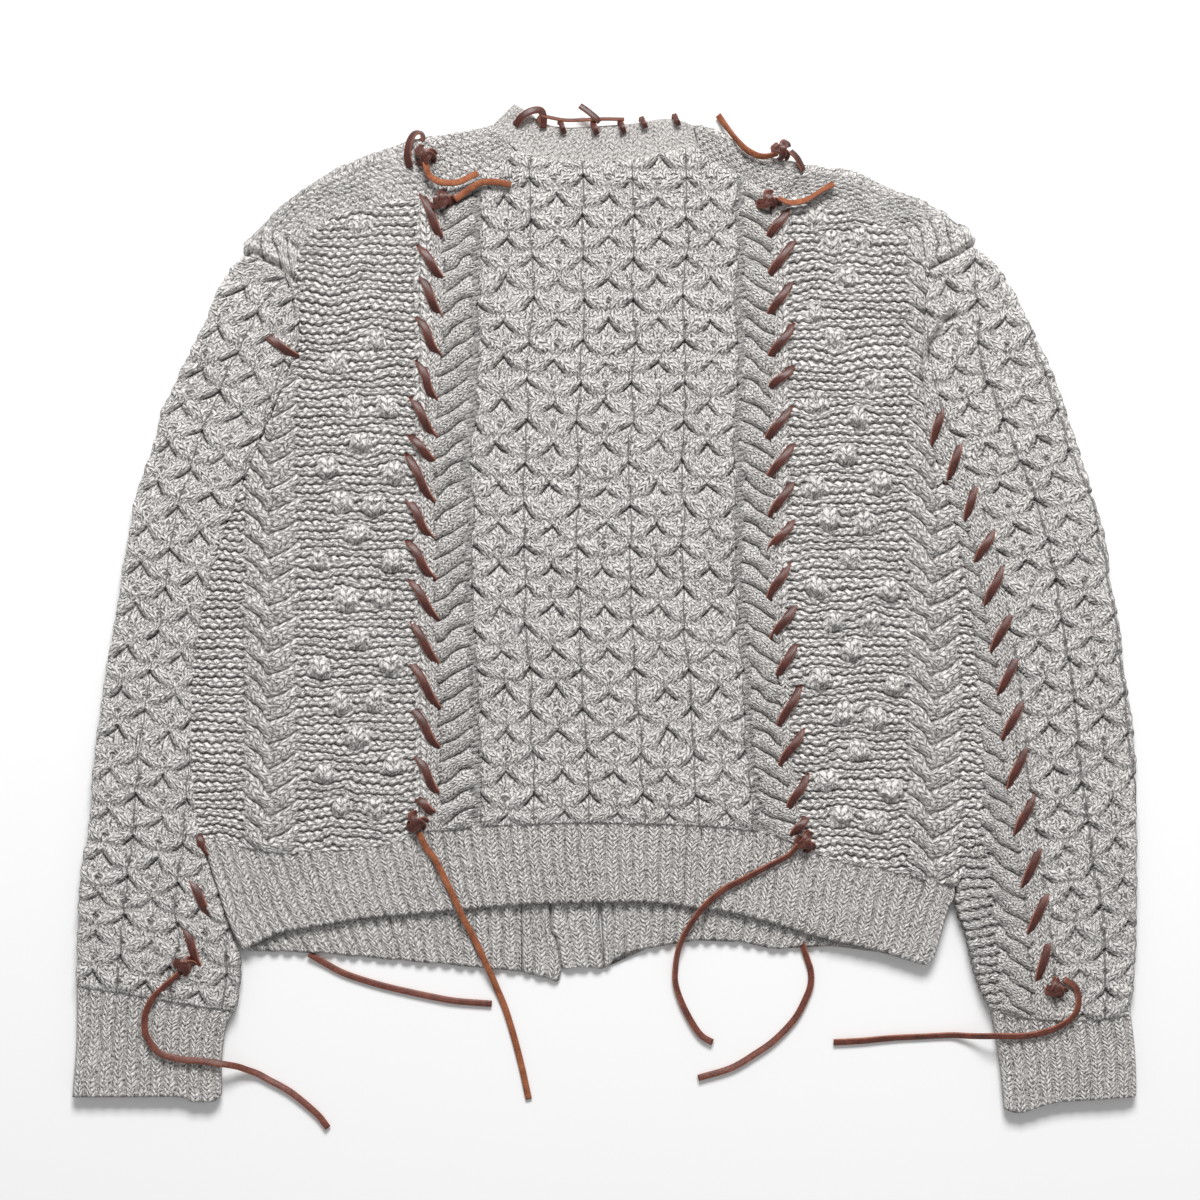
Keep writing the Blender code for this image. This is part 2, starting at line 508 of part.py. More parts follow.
def lace_tube(name, route):
    """A round tube along a smooth line through the route's points."""
    line = catmull_rom(route, ROUTE_SAMPLES)
    line[:, 2] = (line[:, 2] + swelling(line).clip(0.0)).clip(LACE_REST)
    length = np.linalg.norm(np.diff(line, axis=0), axis=1).sum()
    count = max(4, round(length / LACE_POINT_STEP) + 1)
    points = along(line, np.linspace(0.0, 1.0, count))
    curve = bpy.data.curves.new(name, "CURVE")
    curve.dimensions = "3D"
    curve.bevel_depth = LACE_TUBE_RADIUS * MM
    curve.bevel_resolution = 2
    curve.use_fill_caps = True
    spline = curve.splines.new("POLY")
    spline.points.add(count - 1)
    for target, point in zip(spline.points, points):
        target.co = (*(MM * point), 1.0)
    curve.materials.append(material(LACE_SUEDE if name in SUEDE_UP else LACE_LEATHER))
    made = bpy.data.objects.new(name, curve)
    bpy.context.scene.collection.objects.link(made)
    return made


def build_back():
    """The laced back: a middle panel, two side panels and the hem rib."""
    neck = YOKE_LEFT + NECK_SEAM[3:-1] + YOKE_RIGHT
    hem_left = HEM_SEAM[:6]
    hem_middle = HEM_SEAM[5:11]
    hem_right = HEM_SEAM[10:]
    sheet("back_centre", (hem_middle, neck, SEAM_LEFT, SEAM_RIGHT), CABLE_KNIT, (17, 17),
          BACK_LEVEL, CLOTH, gaps=(SEAM_GAP, SEAM_GAP, LOOSE_GAP))
    sheet("back_side_left", (hem_left, SHOULDER_LEFT, SIDE_LEFT, SEAM_LEFT), BOBBLE_KNIT, (8, 17),
          BACK_LEVEL, CLOTH, gaps=(LOOSE_GAP, SEAM_GAP, SEAM_GAP))
    sheet("back_side_right", (hem_right, SHOULDER_RIGHT, SEAM_RIGHT, SIDE_RIGHT), BOBBLE_KNIT,
          (8, 17), BACK_LEVEL, CLOTH, gaps=(SEAM_GAP, LOOSE_GAP, SEAM_GAP))
    sheet("back_hem_rib", (HEM_EDGE, HEM_SEAM, HEM_END_LEFT, HEM_END_RIGHT), RIB_KNIT,
          (27, 4), BACK_LEVEL, RIB, gaps=(SEAM_GAP, SEAM_GAP, LOOSE_GAP), swell=False)


def build_shoulders():
    """The strips of front cloth that turn over the shoulders on to the back."""
    yoke_left = YOKE_LEFT[1:]
    sheet("shoulder_left", (SHOULDER_LEFT + yoke_left, YOKE_FOLD_LEFT, ARMHOLE_LEFT,
                            [yoke_left[-1], YOKE_FOLD_LEFT[-1]]),
          CABLE_KNIT, (19, 4), BACK_LEVEL, CLOTH, gaps=(SEAM_GAP, SEAM_GAP, HIDDEN_GAP),
          swell=False)
    sheet("shoulder_right", (YOKE_RIGHT + SHOULDER_RIGHT[1:], YOKE_FOLD_RIGHT,
                             [YOKE_RIGHT[0], YOKE_FOLD_RIGHT[0]], ARMHOLE_RIGHT),
          CABLE_KNIT, (19, 4), BACK_LEVEL, CLOTH, gaps=(SEAM_GAP, SEAM_GAP, HIDDEN_GAP),
          swell=False)


def build_neckband():
    """The band round the neck: its back leans down to the surface, its fronts lie on it."""
    sheet("neckband", (NECK_SEAM, NECKBAND_EDGE, [NECK_SEAM[0], NECKBAND_EDGE[0]],
                       [NECK_SEAM[-1], NECKBAND_EDGE[-1]]),
          RIB_KNIT, (17, 4), BACK_LEVEL, RIB, gaps=(SEAM_GAP, SEAM_GAP, LOOSE_GAP), lean=4.0,
          swell=False)
    sheet("neckband_front_left", ([NECK_FRONT_LEFT[0], COLLAR_LEFT[0]],
                                  [NECK_FRONT_LEFT[-1], COLLAR_LEFT[-1]],
                                  NECK_FRONT_LEFT, COLLAR_LEFT),
          RIB_KNIT, (4, 9), 0.0, RIB, gaps=(HIDDEN_GAP, HIDDEN_GAP, LOOSE_GAP), swell=False)
    sheet("neckband_front_right", ([COLLAR_RIGHT[0], NECK_FRONT_RIGHT[0]],
                                   [COLLAR_RIGHT[-1], NECK_FRONT_RIGHT[-1]],
                                   COLLAR_RIGHT, NECK_FRONT_RIGHT),
          RIB_KNIT, (4, 9), 0.0, RIB, gaps=(HIDDEN_GAP, HIDDEN_GAP, LOOSE_GAP), swell=False)


def build_fronts():
    """The fronts, which the back covers except for the lower edges of their ribs."""
    sheet("front_left", (FRONT_RIB_LEFT, YOKE_FOLD_LEFT[:-1], SIDE_LEFT[:-1] + ARMHOLE_LEFT,
                         BAND_LEFT_EDGE[:-1] + NECK_FRONT_LEFT),
          CABLE_KNIT, (8, 13), 0.0, CLOTH, gaps=(HIDDEN_GAP, HIDDEN_GAP, LOOSE_GAP), swell=False)
    sheet("front_right", (FRONT_RIB_RIGHT, YOKE_FOLD_RIGHT[1:],
                          BAND_RIGHT_EDGE[:-1] + NECK_FRONT_RIGHT, SIDE_RIGHT[:-1] + ARMHOLE_RIGHT),
          CABLE_KNIT, (8, 13), 0.0, CLOTH, gaps=(HIDDEN_GAP, HIDDEN_GAP, LOOSE_GAP), swell=False)
    sheet("front_hem_left", (FRONT_HEM_LEFT, FRONT_RIB_LEFT, HEM_END_LEFT,
                             [FRONT_HEM_LEFT[-1], FRONT_RIB_LEFT[-1]]),
          RIB_KNIT, (17, 4), 0.0, RIB, swell=False)
    sheet("front_hem_right", (FRONT_HEM_RIGHT, FRONT_RIB_RIGHT,
                              [FRONT_HEM_RIGHT[0], FRONT_RIB_RIGHT[0]], HEM_END_RIGHT),
          RIB_KNIT, (17, 4), 0.0, RIB, swell=False)
    sheet("front_band_left", ([FRONT_HEM_LEFT[-1], BAND_MEETING[0]],
                              [BAND_LEFT_EDGE[-1], BAND_MEETING[-1]],
                              [FRONT_HEM_LEFT[-1]] + BAND_LEFT_EDGE, BAND_MEETING),
          RIB_KNIT, (4, 15), 0.0, RIB, gaps=(LOOSE_GAP, LOOSE_GAP, SEAM_GAP), swell=False)
    sheet("front_band_right", ([BAND_FOOT_RIGHT, FRONT_HEM_RIGHT[0]],
                               [BAND_MEETING[-1], BAND_RIGHT_EDGE[-1]],
                               [BAND_FOOT_RIGHT] + BAND_MEETING[1:],
                               [FRONT_HEM_RIGHT[0]] + BAND_RIGHT_EDGE),
          RIB_KNIT, (4, 15), 0.0, RIB, gaps=(LOOSE_GAP, LOOSE_GAP, SEAM_GAP), swell=False)


def build_sleeves():
    """The sleeves and their cuffs, as flattened tubes."""
    flattened_tube("sleeve_left", (SLEEVE_LEFT_WRIST, SLEEVE_LEFT_HEAD, SLEEVE_LEFT_OUTER,
                                   SLEEVE_LEFT_INNER), CABLE_KNIT, (7, 21), CLOTH, LOOSE_GAP)
    flattened_tube("sleeve_right", (SLEEVE_RIGHT_WRIST, SLEEVE_RIGHT_HEAD, SLEEVE_RIGHT_INNER,
                                    SLEEVE_RIGHT_OUTER), CABLE_KNIT, (7, 21), CLOTH, LOOSE_GAP)
    flattened_tube("cuff_left", (CUFF_LEFT_EDGE, SLEEVE_LEFT_WRIST, CUFF_LEFT_OUTER,
                                 CUFF_LEFT_INNER), RIB_KNIT, (7, 4), RIB)
    flattened_tube("cuff_right", (CUFF_RIGHT_EDGE, SLEEVE_RIGHT_WRIST, CUFF_RIGHT_INNER,
                                  CUFF_RIGHT_OUTER), RIB_KNIT, (7, 4), RIB)


def build_laces():
    """The lacing runs, the knots that end them and the free ends."""
    for name, stitches in LACING.items():
        lace_strip(name, stitches)
    for row in KNOTS:
        knot(**row)
    for name, route in {**TAILS, **HELD_LACES}.items():
        lace_tube(name, route)


def main():
    clear_scene()
    build_back()
    build_shoulders()
    build_neckband()
    build_fronts()
    build_sleeves()
    build_laces()


main()
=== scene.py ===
"""Looks of a heavy cable knit cardigan that lies flat with its back up, laced with flat leather.

Every table and size is in millimetres: x to the wearer's right, y towards the neck, z up from the
surface that the garment lies on. MM turns them to metres when a mesh is made.
"""

import json
import logging
import math
from dataclasses import dataclass
from enum import Enum
from typing import Callable, Sequence

import bpy
import numpy as np
from bpy.types import ID, Material, Node, NodeSocket, NodeTree, Object
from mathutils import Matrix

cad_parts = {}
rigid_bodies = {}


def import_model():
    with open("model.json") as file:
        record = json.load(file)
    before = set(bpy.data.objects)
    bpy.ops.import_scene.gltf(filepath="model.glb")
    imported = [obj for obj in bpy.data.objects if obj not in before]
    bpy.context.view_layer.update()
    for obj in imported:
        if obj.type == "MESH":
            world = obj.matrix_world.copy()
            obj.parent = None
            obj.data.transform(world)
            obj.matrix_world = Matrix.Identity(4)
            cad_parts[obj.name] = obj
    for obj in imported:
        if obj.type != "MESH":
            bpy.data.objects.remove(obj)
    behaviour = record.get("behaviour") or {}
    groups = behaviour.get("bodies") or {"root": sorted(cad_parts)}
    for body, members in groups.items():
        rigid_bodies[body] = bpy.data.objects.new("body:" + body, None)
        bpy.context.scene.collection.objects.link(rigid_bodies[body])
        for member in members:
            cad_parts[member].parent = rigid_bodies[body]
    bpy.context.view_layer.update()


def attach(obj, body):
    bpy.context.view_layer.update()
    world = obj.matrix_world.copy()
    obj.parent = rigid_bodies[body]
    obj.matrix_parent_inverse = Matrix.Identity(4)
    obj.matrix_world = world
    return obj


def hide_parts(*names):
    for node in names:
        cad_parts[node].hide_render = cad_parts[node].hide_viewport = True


LOG = logging.getLogger("cardigan")
MM = 0.001
PI = math.pi
Points = Sequence[tuple[float, ...]]
Array = np.ndarray
Frame = Callable[[Array, Array, Array, Array], tuple[Array, Array]]

# ---------------------------------------------------------------- sizes that the solids share
CLOTH = 5.2  # wall of the cable knit
RIB = 4.6  # wall of the rib
BACK_LEVEL = 5.5  # underside of the back, which lies on the fronts
TOP_LEVEL = BACK_LEVEL + CLOTH
LACE_WIDTH = 5.2
LACE_THICKNESS = 1.7
LACE_TUBE_RADIUS = 1.8  # of the round solids that stand for the lace
LACE_REST = LACE_TUBE_RADIUS + 0.15
TUBE_SLIT = 0.6  # between the two walls of a sleeve or a cuff
WRIST_SEAM = 10.4  # where a sleeve and its cuff are sewn: the mean of their heights
# Section of a lace, in half widths and half thicknesses, and the face that each side belongs to
LACE_SECTION = ((-1.0, 0.35), (-0.86, 0.92), (-0.4, 1.0), (0.0, 1.04), (0.4, 1.0), (0.86, 0.92),
                (1.0, 0.35), (1.0, -0.55), (0.86, -1.0), (0.0, -1.0), (-0.86, -1.0), (-1.0, -0.55))
LACE_SIDES = (2, 0, 0, 0, 0, 2, 2, 2, 1, 1, 2, 2)  # 0 grain, 1 flesh, 2 cut edge

# ---------------------------------------------------------------- gauge of the knitting
YARN = 4.6  # width of one leg of a stitch
STITCH = 2 * YARN
ROW = 5.9  # height of one row of stitches
HONEYCOMB_WIDE = 4 * STITCH
HONEYCOMB_TALL = 28.7
SIDE_ROPE_PITCH = 16.3
GARTER_RIDGE = 6.7
BEAD = 6.3  # length of a garter loop that shows
RIB_PITCH = STITCH
RIB_ROW = 3.4
NECK_RIB_PITCH = 5.9

# ---------------------------------------------------------------- lines that the pieces share
SEAM_LEFT = [(-124, -156), (-123, -106), (-125, -57), (-127, 6), (-128, 61), (-128, 103),
             (-125, 146), (-122, 202), (-121, 258), (-122, 286)]
SEAM_RIGHT = [(137, -166), (135, -134), (130, -99), (129, -64), (125, -22), (122, 20), (123, 62),
              (122, 104), (122, 146), (123, 174), (122, 216), (123, 244), (122, 286)]
SIDE_LEFT = [(-282, -161), (-286, -134), (-288, -78), (-287, -42), (-281, -6), (-272, 32),
             (-252, 87), (-222, 160), (-214, 185), (-213, 206), (-218, 227)]
SIDE_RIGHT = [(246, -194), (254, -172), (260, -155), (263, -137), (263, -104), (262, -78),
              (260, -51), (256, -6), (250, 32), (245, 56), (236, 87), (227, 118), (222, 150),
              (222, 195), (226, 236)]
HEM_SEAM = [(-282, -161), (-229, -171), (-202, -170), (-167, -168), (-140, -162), (-124, -156),
            (-59, -151), (-3, -150), (67, -152), (112, -157), (137, -166), (158, -175),
            (184, -181), (211, -186), (229, -191), (246, -194)]
ARMHOLE_LEFT = [(-218, 227), (-226, 237), (-238, 243), (-251, 247), (-252, 255)]
ARMHOLE_RIGHT = [(226, 236), (237, 242), (247, 247), (257, 253), (260, 259)]
SHOULDER_LEFT = [(-218, 227), (-214, 248), (-202, 267), (-182, 277), (-162, 281), (-132, 287),
                 (-122, 286)]
SHOULDER_RIGHT = [(122, 286), (131, 289), (162, 280), (195, 268), (214, 254), (226, 236)]
YOKE_LEFT = [(-122, 286), (-94, 298), (-75, 308), (-62, 319)]
YOKE_RIGHT = [(66, 321), (67, 317), (92, 302), (122, 286)]
NECK_SEAM = [(-76, 338), (-69, 329), (-61, 321), (-41, 313), (-18, 312), (4, 312), (25, 314),
             (40, 318), (65, 322)]
HEM_EDGE = [(-253, -240), (-229, -228), (-202, -223), (-167, -217), (-131, -214), (-101, -211),
            (-50, -207), (-5, -206), (31, -206), (66, -210), (93, -214), (123, -222),
            (157, -232), (193, -240), (220, -249), (225, -250)]
HEM_END_LEFT = [(-253, -240), (-263, -221), (-270, -200), (-277, -178), (-282, -161)]
HEM_END_RIGHT = [(225, -250), (231, -244), (236, -228), (241, -211), (245, -203), (246, -194)]
SLEEVE_LEFT_OUTER = [(-370, -264), (-369, -223), (-367, -187), (-361, -151), (-358, -110),
                     (-354, -78), (-349, -42), (-342, -4), (-337, 32), (-332, 57), (-328, 80),
                     (-315, 117), (-310, 139), (-300, 159), (-292, 177), (-281, 198),
                     (-273, 218), (-263, 237), (-251, 247)]
SLEEVE_LEFT_INNER = [(-258, -281), (-255, -262), (-255, -244)] + HEM_END_LEFT[1:] + SIDE_LEFT[1:]
SLEEVE_LEFT_HEAD = ARMHOLE_LEFT[3::-1]
SLEEVE_LEFT_WRIST = [(-370, -264), (-330, -270), (-290, -277), (-258, -281)]
SLEEVE_RIGHT_INNER = [(270, -281), (261, -263), (252, -228), (245, -207), (247, -192),
                      *SIDE_RIGHT[1:]]
SLEEVE_RIGHT_OUTER = [(369, -284), (372, -250), (373, -200), (373, -134), (372, -104),
                      (369, -72), (364, -42), (361, -11), (355, 17), (352, 45), (344, 74),
                      (335, 104), (327, 128), (318, 155), (309, 177), (297, 202), (288, 220),
                      (277, 237), (266, 249), (257, 253)]
SLEEVE_RIGHT_HEAD = ARMHOLE_RIGHT[:4]
SLEEVE_RIGHT_WRIST = [(270, -281), (300, -287), (335, -288), (369, -284)]
CUFF_LEFT_OUTER = [(-373, -343), (-372, -330), (-370, -302), (-370, -264)]
CUFF_LEFT_INNER = [(-268, -341), (-268, -317), (-265, -294), (-258, -281)]
CUFF_LEFT_EDGE = [(-373, -343), (-330, -343), (-296, -343), (-290, -346), (-274, -346),
                  (-268, -341)]
CUFF_RIGHT_OUTER = [(372, -343), (373, -338), (372, -310), (369, -284)]
CUFF_RIGHT_INNER = [(280, -351), (279, -340), (277, -320), (273, -295), (270, -281)]
CUFF_RIGHT_EDGE = [(280, -351), (292, -354), (316, -347), (345, -345), (372, -343)]
YOKE_FOLD_LEFT = [(-252, 255), (-241, 265), (-228, 280), (-202, 299), (-180, 311), (-141, 325),
                  (-116, 331), (-96, 334), (-82, 337), (-76, 338)]
YOKE_FOLD_RIGHT = [(63, 338), (75, 336), (88, 329), (100, 320), (134, 312), (148, 309),
                   (180, 304), (195, 295), (220, 286), (236, 278), (243, 270), (250, 268),
                   (260, 259)]
NECKBAND_EDGE = [(-62, 353), (-52, 347), (-43, 340), (-27, 337), (-5, 338), (21, 340),
                 (40, 343), (53, 342), (61, 339)]
FRONT_HEM_LEFT = [(-253, -240), (-202, -242), (-167, -245), (-121, -249), (-89, -252),
                  (-70, -254), (-58, -255)]
FRONT_HEM_RIGHT = [(0, -253), (14, -243), (40, -237), (66, -233), (93, -234), (123, -239),
                   (140, -237), (172, -238), (200, -243), (225, -250)]
FRONT_RIB_LEFT = [(-282, -161), (-240, -176), (-160, -184), (-100, -190), (-58, -192)]
FRONT_RIB_RIGHT = [(-4, -188), (60, -180), (120, -182), (180, -187), (246, -194)]
BAND_LEFT_EDGE = [(-58, -192), (-54, 0), (-50, 180), (-48, 232)]
BAND_RIGHT_EDGE = [(-4, -188), (2, 0), (6, 180), (8, 228)]
BAND_FOOT_RIGHT = (-25, -251)
BAND_MEETING = [(-32, -262), (-30, -252), (-34, -232), (-38, -205), (-34, 0), (-30, 180),
                (-28, 229)]
NECK_FRONT_LEFT = [(-48, 232), (-60, 245), (-74, 268), (-84, 300), (-86, 334)]
NECK_FRONT_RIGHT = [(8, 228), (36, 238), (62, 262), (76, 296), (76, 334)]
COLLAR_LEFT = [(-28, 229), (-30, 252), (-44, 262), (-58, 276), (-66, 294), (-68, 318)]
COLLAR_RIGHT = [(-28, 229), (-26, 250), (-12, 252), (24, 258), (44, 272), (54, 292), (58, 318)]


# ---------------------------------------------------------------- how the cloth and laces lie
class Face(Enum):
    """Which face of a lace lies up."""

    GRAIN = 1.0
    FLESH = -1.0


@dataclass(frozen=True)
class Swell:
    """A soft swelling of the cloth, or a hollow where its height is negative."""

    x: float
    y: float
    wide: float  # size along x
    long: float  # size along y
    high: float


@dataclass(frozen=True)
class Crease:
    """A crease of the cloth, with a low roll beside it."""

    line: Points  # of its bottom
    wide: float  # half of its width
    deep: float
    roll: float  # height of the roll


@dataclass(frozen=True)
class Knot:
    """A knot that ends a run of lacing: its middle, its size and its turn."""

    x: float
    y: float
    wide: float
    long: float
    high: float
    turn: float  # degrees


@dataclass(frozen=True)
class Tail:
    """A free lace end."""

    route: Points  # from the garment outwards; a point without a height rests on the surface
    roll: float = 0.0  # degrees that it is turned over about its own line
    raised: float = 0.9  # how much higher than its solid it lies on the relief
    hidden: float = 4.0  # how far it reaches into its knot, or under the hem
    face: Face = Face.GRAIN
    slot: str = "lace_leather"


SWELLS = [
    Swell(240, 150, 14, 34, 1.6), Swell(234, 190, 9, 26, -2.2), Swell(262, 60, 16, 60, 1.2),
    Swell(-246, 150, 16, 50, 1.3), Swell(-222, 205, 9, 26, -1.6), Swell(-175, 110, 26, 80, 1.0),
    Swell(180, 140, 22, 90, 1.1), Swell(-320, -60, 22, 120, 1.2), Swell(325, -120, 24, 120, 1.2),
]

CREASES = [
    Crease([(244, 204), (238, 199), (232, 191), (228, 184), (225, 175), (223, 163), (222, 149)],
           2.6, 4.6, 1.1),
    Crease([(260, 258), (255, 252), (247, 246), (239, 243), (230, 238)], 1.8, 3.6, 0.9),
    Crease([(-251, 246), (-244, 248), (-238, 244), (-226, 238), (-218, 230), (-216, 222),
            (-216, 202)], 1.9, 3.4, 0.9),
    Crease([(-225, 260), (-214, 250)], 1.6, 2.2, 0.5),
    Crease([(-279, -150), (-270, -178), (-262, -205)], 3.0, 1.2, 0.3),
]

# Bobbles, as the photographed ones stand
BOBBLES_LEFT = [
    (-171, 268), (-160, 186), (-187, 172), (-175, 143), (-152, 140), (-170, 114), (-193, 98),
    (-147, 94), (-184, 74), (-160, 71), (-172, 51), (-200, 32), (-147, 32), (-181, 5),
    (-156, 6), (-171, -22), (-198, -42), (-149, -40), (-184, -66), (-161, -65), (-172, -91),
    (-196, -116), (-147, -110), (-183, -139), (-160, -139),
]
BOBBLES_RIGHT = [
    (147, 273), (158, 256), (177, 259), (169, 230), (147, 205), (161, 188), (186, 157),
    (147, 144), (177, 132), (169, 106), (148, 83), (193, 87), (157, 62), (182, 61), (171, 35),
    (148, 14), (199, 13), (161, -10), (186, -10), (173, -31), (151, -50), (203, -55),
    (166, -74), (190, -77), (179, -100), (155, -121), (201, -128), (166, -146), (190, -149),
]

# Lacing stitches: the upper and the lower end of each one, from the neck down
LACING = {
    "lacing_back_left": [
        ((-127, 288), (-113, 257)), ((-129, 253), (-113, 229)), ((-128, 232), (-115, 204)),
        ((-130, 203), (-116, 177)), ((-130, 172), (-118, 145)), ((-134, 146), (-119, 120)),
        ((-135, 120), (-119, 102)), ((-137, 106), (-120, 74)), ((-137, 75), (-121, 49)),
        ((-137, 46), (-119, 20)), ((-135, 19), (-117, -8)), ((-134, -10), (-117, -39)),
        ((-134, -39), (-115, -71)), ((-133, -71), (-115, -99)), ((-131, -104), (-115, -131)),
        ((-131, -133), (-118, -144))],
    "lacing_back_right": [
        ((128, 279), (114, 257)), ((132, 257), (114, 230)), ((130, 228), (114, 202)),
        ((131, 198), (115, 173)), ((131, 169), (115, 152)), ((129, 140), (113, 116)),
        ((131, 114), (114, 90)), ((131, 88), (116, 64)), ((131, 61), (115, 39)),
        ((128, 31), (115, 6)), ((133, 2), (117, -22)), ((133, -26), (120, -50)),
        ((136, -56), (122, -83)), ((138, -85), (123, -111)), ((141, -117), (128, -143)),
        ((141, -146), (131, -160))],
    "lacing_sleeve_right": [
        ((235, 141), (230, 114)), ((248, 116), (241, 88)), ((258, 86), (253, 60)),
        ((271, 55), (260, 31)), ((277, 29), (267, 1)), ((284, -1), (271, -31)),
        ((288, -33), (276, -61)), ((292, -63), (279, -92)), ((294, -95), (283, -127)),
        ((299, -130), (288, -159)), ((304, -165), (293, -196)), ((309, -198), (297, -228)),
        ((310, -232), (303, -262))],
    "lacing_sleeve_left": [
        ((-284, -158), (-279, -172)), ((-289, -190), (-275, -216)), ((-293, -223), (-282, -253))],
    "lacing_sleeve_left_top": [((-238, 191), (-215, 176))],
}

KNOTS = {
    "knot_back_left": Knot(-131, -149, 15, 13, 8, 20),
    "knot_back_right": Knot(141, -163, 15, 13, 8, -25),
    "knot_sleeve_left": Knot(-293, -249, 14, 14, 8, 60),
    "knot_sleeve_right": Knot(316, -265, 16, 12, 8, -10),
    "knot_shoulder_left": Knot(-125, 316, 15, 14, 9, 35),
    "knot_shoulder_right": Knot(124, 320, 14, 12, 9, -40),
    "knot_yoke_left": Knot(-112, 286, 20, 10, 8, 5),
    "knot_yoke_right": Knot(115, 285, 18, 11, 8, -5),
}

TAILS = {
    "tail_back_left": Tail([
        (-128, -160, 13.2), (-124, -168, 12.7), (-118, -176, 12.5),
        (-108, -196, 12.5), (-103, -207, 12.3), (-99, -216, 10.8),
        (-94, -226, 8.4), (-89, -236, 7.4), (-84, -247, 7.0), (-79, -258, 5.4),
        (-75, -268, 2.8), (-70, -280), (-64, -299), (-58, -322), (-53, -345)],
        face=Face.FLESH, slot="lace_suede"),
    "tail_front_left": Tail([
        (-200, -247, 2.6), (-195, -250, 2.1), (-186, -255), (-176, -259), (-160, -264),
        (-144, -268), (-121, -273), (-104, -276), (-79, -278)], roll=12.0, hidden=8.5),
    "tail_back_right": Tail([
        (133, -168, 13.2), (128, -173, 12.7), (113, -181, 12.5),
        (96, -190, 12.5), (84, -196, 12.5), (73, -205, 12.4),
        (66, -213, 11.0), (60, -222, 8.4), (56, -229, 7.0), (53, -236, 6.4), (51, -244, 4.0),
        (50, -253), (50, -263), (54, -276), (61, -290), (68, -300), (76, -305)], roll=38.0),
    "tail_front_right": Tail([
        (141, -242, 2.6), (143, -248, 2.1), (145, -255), (145, -264), (142, -273), (134, -288),
        (120, -303), (106, -313), (89, -323), (66, -330)], roll=-30.0, hidden=8.5),
    "tail_sleeve_left": Tail([
        (-299, -257, 13.6), (-308, -265, 13.4), (-315, -272, 13.2), (-320, -282, 12.6),
        (-321, -293, 12.1), (-318, -302, 12.1), (-310, -311, 12.1), (-296, -315, 12.1),
        (-285, -316, 12.1), (-276, -317, 12.2), (-270, -318, 12.1), (-264, -319, 10.8),
        (-257, -321, 7.6), (-250, -324, 4.4), (-243, -327, 2.4), (-236, -331), (-220, -340),
        (-202, -355), (-194, -365)], roll=30.0),
    "tail_sleeve_right": Tail([
        (324, -261, 13.7), (329, -265, 13.5), (331, -273, 13.5), (328, -284, 13.5),
        (316, -293, 12.9), (300, -298, 12.1), (289, -299, 12.1), (280, -299, 12.2),
        (272, -299, 11.8), (265, -299.5, 9.4), (258, -300, 6.0), (250, -300, 3.2), (242, -300),
        (222, -301), (202, -302), (180, -304), (161, -305)], roll=28.0),
    "tail_shoulder_left": Tail([
        (-124, 307, 15.4), (-123, 303, 15.4), (-119, 299, 15.6), (-113, 296.5, 16.2),
        (-106, 296, 17.2), (-100, 297, 17.6), (-94, 300, 17.4), (-88, 303, 17.0)],
        roll=16.0, raised=1.6, face=Face.FLESH),
    "tail_yoke_left": Tail([
        (-101, 287, 13.4), (-97, 290, 13.2), (-91, 294, 13.1), (-84, 297, 13.1),
        (-75, 297, 13.1), (-65, 295, 13.1)], roll=-14.0, raised=3.4, face=Face.FLESH),
    "tail_shoulder_right": Tail([
        (117, 316, 13.4), (112, 315, 13.2), (106, 316, 13.2), (99, 320, 13.1), (94, 325, 12.6),
        (90, 330, 10.6), (87, 335, 7.6), (84.5, 339, 4.8), (82, 343, 2.6), (80, 346)],
        roll=58.0, raised=1.6, face=Face.FLESH),
    "tail_yoke_right": Tail([
        (125, 284, 13.4), (129, 282.5, 13.2), (135, 283, 13.1), (142, 285, 13.1),
        (150, 290, 13.1), (160, 296, 13.1)], roll=50.0, raised=2.2, face=Face.FLESH),
}

# Routes of the short laces at the shoulders and the neck edge
LOOP_LEFT = [(-136, 308, 11.6), (-137.4, 316, 13.8), (-136, 325, 13.9), (-132.5, 331.5, 12.4),
             (-128, 332, 10.0), (-126, 327, 8.4)]
LOOP_RIGHT = [(130, 319, 13.4), (134, 315, 14.0), (136.5, 311, 13.6), (139, 306, 11.5)]
NECK_END = [(-17, 351.5, 8.6), (-12, 348, 9.2), (-6, 343, 9.6), (-3, 340, 9.0)]
NECK_RUN = [(-47, 341, 7.4), (-44, 344.5, 8.4), (-38, 343.4, 8.0), (-27, 341.6, 7.6),
            (-14, 341.8, 7.8), (0, 342.4, 7.8), (14, 342.2, 7.4)]
NECK_BEND = [(-62, 338, 8.0), (-58, 343, 11.4), (-51, 347.4, 11.4), (-44.5, 348, 9.4),
             (-42.6, 343, 8.8), (-43, 336, 7.2)]
# Turns round the neck edge: place of the upper edge, and how far down each one reaches
NECK_TURNS = [(-30, 339, 6.6), (-7, 338, 6.0), (12, 339, 6.4), (27, 341, 4.6), (50, 343, 4.8)]


# ---------------------------------------------------------------- small helpers
def linear(hexadecimal: str) -> tuple[float, float, float, float]:
    """Turn an sRGB hex colour to linear.

    Args:
        hexadecimal: six digits, such as "A9A4A0".

    Returns:
        Red, green, blue and an alpha of 1.
    """
    found = []
    for start in (0, 2, 4):
        value = int(hexadecimal[start:start + 2], 16) / 255
        found.append(value / 12.92 if value <= 0.04045 else ((value + 0.055) / 1.055) ** 2.4)
    return (*found, 1.0)


